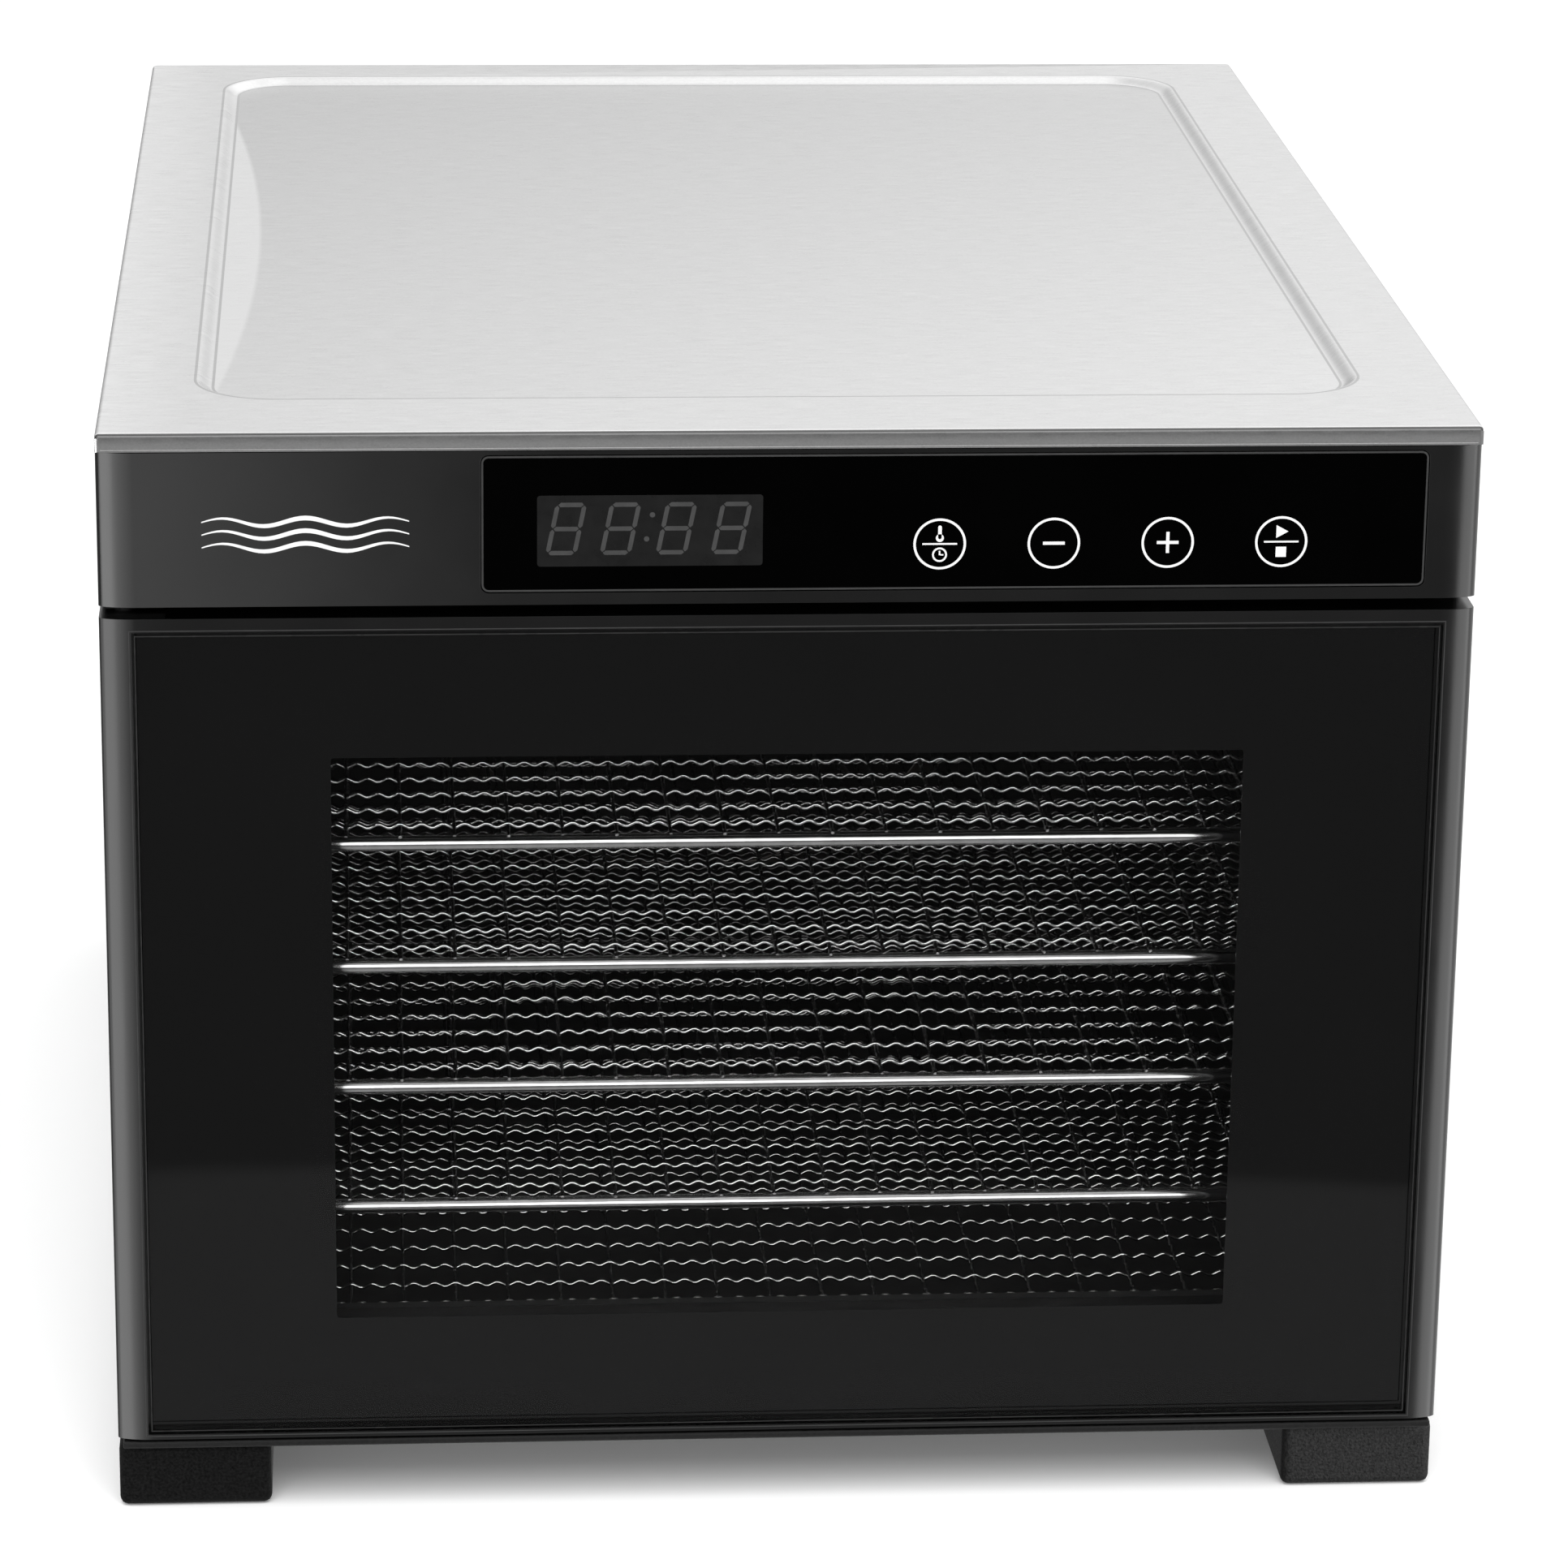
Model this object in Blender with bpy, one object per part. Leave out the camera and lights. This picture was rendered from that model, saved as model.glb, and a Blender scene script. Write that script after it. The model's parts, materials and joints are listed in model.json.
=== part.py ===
"""Cabinet food dehydrator: steel housing, glass door, six wire trays, and a fan and heater at the back.

Metres, +Z up. The front faces -Y, the floor is z = 0 and the origin is the middle of the footprint.
"""
from math import cos, pi, radians, sin, sqrt

import bmesh
import bpy
from mathutils import Vector

# Overall size
WIDTH = 0.340
DEPTH = 0.452
HEIGHT = 0.286
HALF_WIDTH = WIDTH / 2
FRONT = -DEPTH / 2
BACK = DEPTH / 2
CLEARANCE = 0.0003
CUTTER_REACH = 0.010

# Heights of the front's parts, from the floor up
FOOT_HEIGHT = 0.0175
PAN_BOTTOM = 0.0178
PAN_TOP = 0.0198
DOOR_BOTTOM = 0.0204
DOOR_TOP = 0.2391
FASCIA_BOTTOM = 0.2421
LIP_BOTTOM = 0.2814

# Sheet-steel housing with its pressed top
SHEET = 0.001
BEND_RADIUS = 0.0015
HOUSING_BOTTOM = PAN_TOP + 0.0004
INNER_HALF_WIDTH = HALF_WIDTH - SHEET - CLEARANCE
PRESSING_SIDE = 0.0235
PRESSING_FRONT = 0.033
PRESSING_BACK = 0.0185
PRESSING_RADIUS = 0.020
PRESSING_SLOPE = 0.0037
PRESSING_DEPTH = 0.0020
PRESSING_RINGS = 4

# Front moulding: its vertical edges fall away in a quarter ellipse
EDGE_REACH = 0.009
EDGE_DROP = 0.0025
EDGE_STEPS = 6

# Door
DOOR_FRAME_BACK = FRONT + 0.0163
DOOR_LINER_BACK = FRONT + 0.0200
DOOR_LINER_HALF = 0.165
GLASS_HALF = 0.1617
GLASS_LOW = 0.0223
GLASS_HIGH = 0.2351
GLASS_THICKNESS = 0.003
GLASS_FRONT = FRONT + 0.0002
GLASS_POCKET = 0.0005
WINDOW_HALF = 0.117
WINDOW_LOW = 0.049
WINDOW_HIGH = 0.205
HINGE_X = -HALF_WIDTH + 0.006
HINGE_Y = FRONT + 0.0125
PIN_RADIUS = 0.0025
PIN_BORE = 0.0028
PIN_DEPTH = 0.0115
SEAL_WIDTH = 0.003
SEAL_INNER_HALF = 0.1585
SEAL_INNER_LOW = 0.0242
SEAL_INNER_HIGH = 0.2353

# Food chamber
BODY_FRONT = FRONT + 0.0231
FRAME_SHEET = 0.0015
OPENING_HALF = 0.157
OPENING_LOW = 0.0255
OPENING_HIGH = 0.2340
CHAMBER_FRONT = BODY_FRONT + FRAME_SHEET + CLEARANCE
BAFFLE_FRONT = 0.116
WALL_INNER = 0.1565
FLOOR_TOP = 0.0245
CEILING_BOTTOM = 0.2350
BULKHEAD_TOP = 0.2560

# Trays
TRAY_COUNT = 6
TRAY_PITCH = 0.0331
FIRST_TRAY = 0.0355
TRAY_FRONT = FRONT + 0.035
TRAY_DEPTH = 0.300
TRAY_HALF = 0.1545
ROD_RADIUS = 0.002
ROD_CORNER = 0.010
WIRE_WIDTH = 0.0016
WIRE_BOTTOM = 0.0008
WIRE_TOP = 0.0030
WIRE_OVERHANG = 0.0006
TRAY_CELLS = 7
RAIL_INNER = 0.148
RAIL_THICKNESS = 0.0012

# Fan, motor and heater
FAN_HEIGHT = 0.130
FAN_RADIUS = 0.075
FAN_PLANE = 0.150
HUB_RADIUS = 0.016
HUB_LENGTH = 0.018
BLADES = 6
BLADE_PITCH = radians(32)
BLADE_CHORD = 0.034
BLADE_SHEET = 0.0014
BLADE_ROOT_TAPER = 0.42
SHAFT_RADIUS = 0.003
SHAFT_NOSE = 0.014
SHAFT_IN_MOTOR = 0.008
NUT_RADIUS = 0.0065
NUT_THICKNESS = 0.0045
MOTOR_RADIUS = 0.032
MOTOR_FRONT = 0.172
MOTOR_BACK = 0.204
BRACKET_HALF = 0.060
BRACKET_EAR = 0.012
BRACKET_HEIGHT = 0.022
BRACKET_SHEET = 0.0015
HEATER_RADIUS = 0.088
HEATER_TUBE = 0.0033
THERMISTOR_X = 0.120
THERMISTOR_Z = 0.220
REAR_COVER_FRONT = 0.2225
REAR_COVER_BACK = 0.2235

# Controls: a dark panel with a display and four touch keys
PANEL_LEFT = -0.0764
PANEL_RIGHT = 0.1566
PANEL_LOW = 0.2454
PANEL_HIGH = 0.2798
PANEL_RADIUS = 0.0018
PANEL_THICKNESS = 0.0017
DISPLAY_LEFT = -0.0628
DISPLAY_RIGHT = -0.0075
DISPLAY_LOW = 0.2518
DISPLAY_HIGH = 0.2698
KEY_HEIGHT = 0.2569
KEY_FIRST = 0.0361
KEY_SPACING = 0.0282
KEY_COUNT = 4
BOARD_THICKNESS = 0.0016
CONTROL_BOARD_FRONT = FRONT + 0.0100
CONTROL_BOARD_BACK = CONTROL_BOARD_FRONT + BOARD_THICKNESS

# Door catch, at half height on the side away from the hinge
CATCH_LOW = 0.115
CATCH_HIGH = 0.145

# Screws
SCREW_SHANK = 0.002
SCREW_HOLE = 0.0024
FOOT_SCREW_HEAD = 0.0042
REAR_SCREW_HEAD = 0.0038

# Feet
FOOT_WIDTH = 0.039
FOOT_DEPTH = 0.045
FOOT_SETBACK = 0.004
FOOT_RADIUS = 0.002
FOOT_RECESS = 0.009
FOOT_RECESS_RADIUS = 0.006


def clear_scene():
    """Remove every object, so that the model starts empty."""
    for obj in list(bpy.data.objects):
        bpy.data.objects.remove(obj, do_unlink=True)


def make_material(name, colour, roughness, metallic=0.0, transmission=0.0):
    """A plain Principled material."""
    material = bpy.data.materials.new(name)
    material.use_nodes = True
    shader = material.node_tree.nodes["Principled BSDF"]
    shader.inputs["Base Color"].default_value = (*colour, 1.0)
    shader.inputs["Roughness"].default_value = roughness
    shader.inputs["Metallic"].default_value = metallic
    shader.inputs["Transmission Weight"].default_value = transmission
    material.diffuse_color = (*colour, 1.0)
    return material


def finish(name, bm, material):
    """Turn a bmesh into a smooth-shaded object with its faces pointing out."""
    bmesh.ops.recalc_face_normals(bm, faces=bm.faces)
    mesh = bpy.data.meshes.new(name)
    bm.to_mesh(mesh)
    bm.free()
    mesh.materials.append(material)
    mesh.shade_smooth()
    mesh.set_sharp_from_angle(angle=radians(35))
    obj = bpy.data.objects.new(name, mesh)
    bpy.context.collection.objects.link(obj)
    return obj


def on_axis(axis, along, a, b):
    """The point at `along` on one axis and (a, b) on the other two, in X, Y, Z order."""
    if axis == "X":
        return Vector((along, a, b))
    if axis == "Y":
        return Vector((a, along, b))
    return Vector((a, b, along))


def rectangle(x_low, x_high, y_low, y_high):
    """Corner points of a rectangle, anticlockwise."""
    return [(x_low, y_low), (x_high, y_low), (x_high, y_high), (x_low, y_high)]


def rounded_rectangle(x_low, x_high, y_low, y_high, radius, steps=4):
    """Outline of a rectangle with round corners, anticlockwise."""
    corners = (
        (x_high - radius, y_high - radius, 0.0),
        (x_low + radius, y_high - radius, 0.5),
        (x_low + radius, y_low + radius, 1.0),
        (x_high - radius, y_low + radius, 1.5),
    )
    points = []
    for centre_x, centre_y, start in corners:
        for step in range(steps + 1):
            angle = pi * (start + 0.5 * step / steps)
            points.append((centre_x + radius * cos(angle), centre_y + radius * sin(angle)))
    return points


def circle(centre_x, centre_y, radius, sides=16):
    """Points of a circle."""
    angles = [2 * pi * side / sides for side in range(sides)]
    return [(centre_x + radius * cos(angle), centre_y + radius * sin(angle)) for angle in angles]


def prism(name, axis, start, end, outline, material, holes=()):
    """Extrude an outline with holes along one axis."""
    bm = bmesh.new()
    edges = []
    for loop in (outline, *holes):
        verts = [bm.verts.new(on_axis(axis, start, a, b)) for a, b in loop]
        for index in range(len(verts)):
            edges.append(bm.edges.new((verts[index - 1], verts[index])))
    bmesh.ops.triangle_fill(bm, use_beauty=True, edges=edges)
    extruded = bmesh.ops.extrude_face_region(bm, geom=list(bm.faces))
    moved = [item for item in extruded["geom"] if isinstance(item, bmesh.types.BMVert)]
    bmesh.ops.translate(bm, verts=moved, vec=on_axis(axis, end - start, 0.0, 0.0))
    return finish(name, bm, material)


def block(name, x_range, y_range, z_range, material, bevel=0.0, segments=2):
    """A box placed by its centre, with rounded edges where `bevel` is set."""
    size = Vector((x_range[1] - x_range[0], y_range[1] - y_range[0], z_range[1] - z_range[0]))
    bm = bmesh.new()
    bmesh.ops.create_cube(bm, size=1.0)
    bmesh.ops.scale(bm, vec=size, verts=bm.verts)
    if bevel:
        bmesh.ops.bevel(
            bm, geom=list(bm.edges), offset=bevel, segments=segments, affect="EDGES", clamp_overlap=True
        )
    obj = finish(name, bm, material)
    obj.location = (sum(x_range) / 2, sum(y_range) / 2, sum(z_range) / 2)
    return obj


def turned(name, profile, position, axis, material, sides=20):
    """Turn a closed profile of (radius, height) points round the axis; a radius of 0 closes the solid."""
    bm = bmesh.new()
    rings = []
    for radius, height in profile:
        if radius == 0.0:
            rings.append([bm.verts.new((0.0, 0.0, height))])
            continue
        ring = [bm.verts.new((a, b, height)) for a, b in circle(0.0, 0.0, radius, sides)]
        rings.append(ring)
    pairs = list(zip(rings, rings[1:]))
    if len(rings[0]) > 1 and len(rings[-1]) > 1:
        pairs.append((rings[-1], rings[0]))
    for lower, upper in pairs:
        for side in range(sides):
            following = (side + 1) % sides
            corners = [lower[side % len(lower)], lower[following % len(lower)]]
            corners += [upper[following % len(upper)], upper[side % len(upper)]]
            bm.faces.new(list(dict.fromkeys(corners)))
    obj = finish(name, bm, material)
    obj.location = position
    turns = {"+Z": 0.0, "-Z": 180.0, "+Y": -90.0, "-Y": 90.0}
    obj.rotation_euler = (radians(turns[axis]), 0.0, 0.0)
    return obj


def pin(name, radius, length, position, axis, material, sides=16):
    """A plain cylinder that starts at its position and runs along the axis."""
    profile = [(0.0, 0.0), (radius, 0.0), (radius, length), (0.0, length)]
    return turned(name, profile, position, axis, material, sides)


def screw(name, head_radius, head_height, shank_length, position, axis, material):
    """A screw with a domed head: its shank ends at the position and its head lies beyond that point."""
    profile = [
        (0.0, -shank_length),
        (SCREW_SHANK, -shank_length),
        (SCREW_SHANK, 0.0),
        (head_radius, 0.0),
        (head_radius, 0.4 * head_height),
        (0.7 * head_radius, head_height),
        (0.0, head_height),
    ]
    return turned(name, profile, position, axis, material, 12)


def tube(name, points, radius, material, closed=False, resolution=2):
    """A round bar along a line of points."""
    curve = bpy.data.curves.new(name, "CURVE")
    curve.dimensions = "3D"
    curve.bevel_depth = radius
    curve.bevel_resolution = resolution
    curve.use_fill_caps = True
    spline = curve.splines.new("POLY")
    spline.points.add(len(points) - 1)
    for spline_point, point in zip(spline.points, points):
        spline_point.co = (*point, 1.0)
    spline.use_cyclic_u = closed
    curve.materials.append(material)
    obj = bpy.data.objects.new(name, curve)
    bpy.context.collection.objects.link(obj)
    return obj


def combine(target, other, operation):
    """Cut `other` out of `target`, or join it on, and keep `other` out of the model."""
    other.hide_render = True
    other.display_type = "WIRE"
    modifier = target.modifiers.new(other.name, "BOOLEAN")
    modifier.operation = operation
    modifier.object = other
    modifier.solver = "EXACT"


def settled_mesh(obj, helpers):
    """The mesh of an object after its modifiers; the object and its helpers are then removed."""
    graph = bpy.context.evaluated_depsgraph_get()
    mesh = bpy.data.meshes.new_from_object(obj.evaluated_get(graph))
    for item in (obj, *helpers):
        bpy.data.objects.remove(item, do_unlink=True)
    return mesh


def make_pivot(name, position):
    """An empty on a joint's axis, which carries the pieces that move with it."""
    pivot = bpy.data.objects.new(name, None)
    pivot.empty_display_size = 0.02
    pivot.location = position
    bpy.context.collection.objects.link(pivot)
    return pivot


def carry(pivot, pieces):
    """Parent pieces to a pivot without moving them."""
    for piece in pieces:
        piece.parent = pivot
        piece.location = Vector(piece.location) - Vector(pivot.location)


def front_plan(back):
    """Plan outline of the front moulding, from its back to its front with eased vertical edges."""
    points = [(-HALF_WIDTH, back), (HALF_WIDTH, back)]
    right = []
    for step in range(EDGE_STEPS + 1):
        angle = 0.5 * pi * step / EDGE_STEPS
        x = HALF_WIDTH - EDGE_REACH + EDGE_REACH * cos(angle)
        y = FRONT + EDGE_DROP - EDGE_DROP * sin(angle)
        right.append((x, y))
    left = [(-x, y) for x, y in reversed(right)]
    return points + right + left


def make_housing(steel):
    """Top, sides and front lip folded from one sheet, with a shallow rounded pressing in the top."""
    bm = bmesh.new()
    left = -HALF_WIDTH
    right = HALF_WIDTH
    corners = {
        (side, end): bm.verts.new((x, y, HEIGHT))
        for side, x in (("left", left), ("right", right))
        for end, y in (("front", FRONT), ("back", BACK))
    }
    lip = {side: bm.verts.new((x, FRONT, LIP_BOTTOM)) for side, x in (("left", left), ("right", right))}
    for side, x in (("left", left), ("right", right)):
        lower = [(BACK, HOUSING_BOTTOM), (BODY_FRONT, HOUSING_BOTTOM), (BODY_FRONT, LIP_BOTTOM)]
        wall = [corners[side, "front"], corners[side, "back"]]
        wall += [bm.verts.new((x, y, z)) for y, z in lower]
        wall.append(lip[side])
        bm.faces.new(wall)
    bm.faces.new([corners["left", "front"], corners["right", "front"], lip["right"], lip["left"]])
    rings = []
    for ring in range(PRESSING_RINGS + 1):
        share = ring / PRESSING_RINGS
        inset = PRESSING_SLOPE * share
        height = HEIGHT - PRESSING_DEPTH * 0.5 * (1 - cos(pi * share))
        outline = rounded_rectangle(
            left + PRESSING_SIDE + inset,
            right - PRESSING_SIDE - inset,
            FRONT + PRESSING_FRONT + inset,
            BACK - PRESSING_BACK - inset,
            PRESSING_RADIUS - inset,
            6,
        )
        rings.append([bm.verts.new((x, y, height)) for x, y in outline])
    for outer, inner in zip(rings, rings[1:]):
        for index in range(len(outer)):
            bm.faces.new([outer[index - 1], outer[index], inner[index], inner[index - 1]])
    bm.faces.new(rings[-1])
    around = (("left", "front"), ("right", "front"), ("right", "back"), ("left", "back"))
    top = [corners[corner] for corner in around]
    edges = []
    for loop in (top, rings[0]):
        for index in range(len(loop)):
            pair = (loop[index - 1], loop[index])
            edges.append(bm.edges.get(pair) or bm.edges.new(pair))
    bmesh.ops.triangle_fill(bm, use_beauty=True, edges=edges)
    bmesh.ops.recalc_face_normals(bm, faces=bm.faces)
    folds = [
        edge
        for edge in bm.edges
        if len(edge.link_faces) == 2 and edge.calc_face_angle() > radians(60)
    ]
    bmesh.ops.bevel(bm, geom=folds, offset=BEND_RADIUS, segments=2, affect="EDGES", profile=0.5)
    housing = finish("housing_wrap", bm, steel)
    solidify = housing.modifiers.new("sheet", "SOLIDIFY")
    solidify.thickness = SHEET
    solidify.offset = -1.0
    solidify.use_even_offset = True


def foot_centres():
    """Name and plan position of each foot."""
    x = HALF_WIDTH - FOOT_WIDTH / 2
    y = BACK - FOOT_SETBACK - FOOT_DEPTH / 2
    return [
        ("front_left", -x, -y),
        ("front_right", x, -y),
        ("back_left", -x, y),
        ("back_right", x, y),
    ]


def make_base(plastic, rubber, zinc):
    """Base pan and the four feet, each held by a screw from below."""
    holes = [circle(x, y, SCREW_HOLE, 10) for _, x, y in foot_centres()]
    holes.append(circle(HINGE_X, HINGE_Y, PIN_BORE, 12))
    outline = rectangle(-INNER_HALF_WIDTH, INNER_HALF_WIDTH, FRONT, BACK)
    prism("base_pan", "Z", PAN_BOTTOM, PAN_TOP, outline, plastic, holes)
    for name, x, y in foot_centres():
        outline = rounded_rectangle(
            x - FOOT_WIDTH / 2, x + FOOT_WIDTH / 2, y - FOOT_DEPTH / 2, y + FOOT_DEPTH / 2, FOOT_RADIUS, 3
        )
        hole = circle(x, y, SCREW_HOLE, 10)
        foot = prism(f"foot_{name}", "Z", 0.0, FOOT_HEIGHT, outline, rubber, [hole])
        start = (x, y, -CUTTER_REACH)
        depth = FOOT_RECESS + CUTTER_REACH
        recess = pin(f"foot_recess_{name}", FOOT_RECESS_RADIUS, depth, start, "+Z", rubber, 12)
        combine(foot, recess, "DIFFERENCE")
        seat = (x, y, FOOT_RECESS - CLEARANCE)
        screw(f"foot_screw_{name}", FOOT_SCREW_HEAD, 0.0022, 0.0108, seat, "-Z", zinc)


def make_fascia(moulding, black_lens, display, board, foam, black_plastic):
    """Control fascia with its lens, display, board, touch pads and buzzer."""
    back = BODY_FRONT - CLEARANCE
    fascia = prism("control_fascia", "Z", FASCIA_BOTTOM, LIP_BOTTOM - CLEARANCE, front_plan(back), moulding)
    wall = 0.0038
    side_wall = 0.006
    rim = 0.0025
    ledge = 0.0020
    pocket = block(
        "fascia_pocket",
        (side_wall - HALF_WIDTH, HALF_WIDTH - side_wall),
        (FRONT + wall, back + CUTTER_REACH),
        (FASCIA_BOTTOM + rim, LIP_BOTTOM - rim),
        moulding,
    )
    lens_seat = prism(
        "fascia_lens_seat",
        "Y",
        FRONT - CUTTER_REACH,
        FRONT + ledge,
        rounded_rectangle(
            PANEL_LEFT - CLEARANCE,
            PANEL_RIGHT + CLEARANCE,
            PANEL_LOW - CLEARANCE,
            PANEL_HIGH + CLEARANCE,
            PANEL_RADIUS + CLEARANCE,
        ),
        moulding,
    )
    key_last = KEY_FIRST + KEY_SPACING * (KEY_COUNT - 1)
    pad_radius = 0.0055
    seat_width = 0.004
    margin = 0.002
    window = block(
        "fascia_window",
        (DISPLAY_LEFT - margin, key_last + pad_radius + margin),
        (FRONT, FRONT + 2 * wall),
        (PANEL_LOW + seat_width, DISPLAY_HIGH + margin),
        moulding,
    )
    for cutter in (pocket, lens_seat, window):
        combine(fascia, cutter, "DIFFERENCE")
    lens_back = FRONT + PANEL_THICKNESS
    outline = rounded_rectangle(PANEL_LEFT, PANEL_RIGHT, PANEL_LOW, PANEL_HIGH, PANEL_RADIUS)
    prism("control_lens", "Y", FRONT, lens_back, outline, black_lens)
    block(
        "display_module",
        (DISPLAY_LEFT, DISPLAY_RIGHT),
        (lens_back + 0.0008, CONTROL_BOARD_FRONT - CLEARANCE),
        (DISPLAY_LOW, DISPLAY_HIGH),
        display,
    )
    board_margin = 0.008
    block(
        "control_board",
        (DISPLAY_LEFT - board_margin, key_last + pad_radius + board_margin),
        (CONTROL_BOARD_FRONT, CONTROL_BOARD_BACK),
        (FASCIA_BOTTOM + rim + 0.0034, LIP_BOTTOM - rim - 0.0034),
        board,
    )
    pad_front = lens_back + CLEARANCE
    pad_length = CONTROL_BOARD_FRONT - CLEARANCE - pad_front
    for key in range(KEY_COUNT):
        x = KEY_FIRST + KEY_SPACING * key
        pin(f"touch_pad_{key + 1}", pad_radius, pad_length, (x, pad_front, KEY_HEIGHT), "+Y", foam)
    buzzer_seat = (0.006, CONTROL_BOARD_BACK + CLEARANCE, 0.2620)
    pin("buzzer", 0.006, 0.0075, buzzer_seat, "+Y", black_plastic)


def make_power_electronics(board, black_plastic, zinc, cable):
    """Power board above the chamber, with its transformer and relay, and the flat cable to the controls."""
    board_bottom = CEILING_BOTTOM + 0.009
    board_top = board_bottom + BOARD_THICKNESS
    part_base = board_top + CLEARANCE
    front_edge = -0.150
    block("power_board", (0.010, 0.120), (front_edge, -0.030), (board_bottom, board_top), board)
    block("transformer", (0.070, 0.104), (-0.085, -0.055), (part_base, part_base + 0.026), zinc, 0.001, 1)
    block("relay", (0.026, 0.041), (-0.080, -0.061), (part_base, part_base + 0.015), black_plastic, 0.0006, 1)
    thickness = 0.0012
    plug_height = 0.270
    route = [
        (CONTROL_BOARD_BACK + CLEARANCE, plug_height),
        (-0.190, plug_height),
        (front_edge - 0.006, 0.262),
        (front_edge + 0.006, part_base + thickness),
    ]
    underside = [(y, z - thickness) for y, z in reversed(route)]
    prism("control_cable", "X", 0.060, 0.078, route + underside, cable)


def make_chamber(black_steel, enamel, zinc):
    """Front frame, two railed side walls, floor, ceiling and the slotted air baffle."""
    outer = rectangle(-INNER_HALF_WIDTH, INNER_HALF_WIDTH, HOUSING_BOTTOM, BULKHEAD_TOP)
    opening = rectangle(-OPENING_HALF, OPENING_HALF, OPENING_LOW, OPENING_HIGH)
    prism("front_frame", "Y", BODY_FRONT, BODY_FRONT + FRAME_SHEET, outer, black_steel, [opening])
    chamber_back = BAFFLE_FRONT - CLEARANCE
    for name, side in (("left", -1), ("right", 1)):
        wall = [(WALL_INNER + SHEET, FLOOR_TOP + CLEARANCE)]
        wall.append((WALL_INNER, FLOOR_TOP + CLEARANCE))
        for tray in range(TRAY_COUNT):
            rail_top = FIRST_TRAY + TRAY_PITCH * tray - ROD_RADIUS - CLEARANCE
            rail_bottom = rail_top - RAIL_THICKNESS
            wall += [(WALL_INNER, rail_bottom), (RAIL_INNER, rail_bottom)]
            wall += [(RAIL_INNER, rail_top), (WALL_INNER, rail_top)]
        wall.append((WALL_INNER, CEILING_BOTTOM - CLEARANCE))
        wall.append((WALL_INNER + SHEET, CEILING_BOTTOM - CLEARANCE))
        outline = [(side * x, z) for x, z in wall]
        prism(f"chamber_wall_{name}", "Y", CHAMBER_FRONT, chamber_back, outline, enamel)
    plan = rectangle(-INNER_HALF_WIDTH, INNER_HALF_WIDTH, CHAMBER_FRONT, chamber_back)
    prism("chamber_floor", "Z", FLOOR_TOP - SHEET, FLOOR_TOP, plan, enamel)
    prism("chamber_ceiling", "Z", CEILING_BOTTOM, CEILING_BOTTOM + SHEET, plan, enamel)
    slots = []
    slot_height = 0.005
    slot_pitch = 0.014
    slot_rows = 11
    field_radius = 0.088
    rib = 0.004
    for row in range(-(slot_rows // 2), slot_rows // 2 + 1):
        z = FAN_HEIGHT + slot_pitch * row
        reach = sqrt(field_radius**2 - (slot_pitch * row) ** 2)
        for side in (-1, 1):
            ends = sorted((side * rib, side * reach))
            slots.append(rectangle(ends[0], ends[1], z - slot_height / 2, z + slot_height / 2))
    slots.append(circle(THERMISTOR_X, THERMISTOR_Z, SCREW_HOLE, 10))
    outer = rectangle(-INNER_HALF_WIDTH, INNER_HALF_WIDTH, HOUSING_BOTTOM, BULKHEAD_TOP)
    prism("air_baffle", "Y", BAFFLE_FRONT, BAFFLE_FRONT + SHEET, outer, enamel, slots)
    tip = (THERMISTOR_X, BAFFLE_FRONT - 0.006, THERMISTOR_Z)
    pin("thermistor", 0.002, 0.016, tip, "+Y", zinc, 10)


def tray_mesh(wire):
    """One tray: a round-bar loop with the wire grid welded on it, about its own middle."""
    half = TRAY_HALF - ROD_RADIUS
    half_depth = TRAY_DEPTH / 2 - ROD_RADIUS
    loop = rounded_rectangle(-half, half, -half_depth, half_depth, ROD_CORNER, 4)
    rod = tube("tray_rod", [(x, y, 0.0) for x, y in loop], ROD_RADIUS, wire, True, 1)
    cells = []
    for column in range(TRAY_CELLS):
        for row in range(TRAY_CELLS):
            x_low = -half + 2 * half * column / TRAY_CELLS + WIRE_WIDTH / 2
            x_high = -half + 2 * half * (column + 1) / TRAY_CELLS - WIRE_WIDTH / 2
            y_low = -half_depth + 2 * half_depth * row / TRAY_CELLS + WIRE_WIDTH / 2
            y_high = -half_depth + 2 * half_depth * (row + 1) / TRAY_CELLS - WIRE_WIDTH / 2
            at_corner = column in (0, TRAY_CELLS - 1) and row in (0, TRAY_CELLS - 1)
            if at_corner:
                cells.append(rounded_rectangle(x_low, x_high, y_low, y_high, ROD_CORNER, 2))
            else:
                cells.append(rectangle(x_low, x_high, y_low, y_high))
    reach = half + WIRE_OVERHANG
    reach_depth = half_depth + WIRE_OVERHANG
    edge = rounded_rectangle(-reach, reach, -reach_depth, reach_depth, ROD_CORNER + WIRE_OVERHANG, 4)
    grid = prism("tray_grid", "Z", WIRE_BOTTOM, WIRE_TOP, edge, wire, cells)
    bm = bmesh.new()
    graph = bpy.context.evaluated_depsgraph_get()
    rod_mesh = bpy.data.meshes.new_from_object(rod.evaluated_get(graph))
    bm.from_mesh(rod_mesh)
    merge_distance = 0.00005
    bmesh.ops.remove_doubles(bm, verts=bm.verts, dist=merge_distance)
    bpy.data.objects.remove(rod, do_unlink=True)
    solid_rod = finish("tray_rod_solid", bm, wire)
    combine(solid_rod, grid, "UNION")
    return settled_mesh(solid_rod, [grid])


def make_trays(wire):
    """Six equal trays, each on its own slide, resting on the wall rails."""
    mesh = tray_mesh(wire)
    middle = TRAY_FRONT + TRAY_DEPTH / 2
    for tray in range(TRAY_COUNT):
        obj = bpy.data.objects.new(f"tray_{tray + 1}", mesh)
        obj.location = (0.0, middle, FIRST_TRAY + TRAY_PITCH * tray)
        bpy.context.collection.objects.link(obj)


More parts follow.
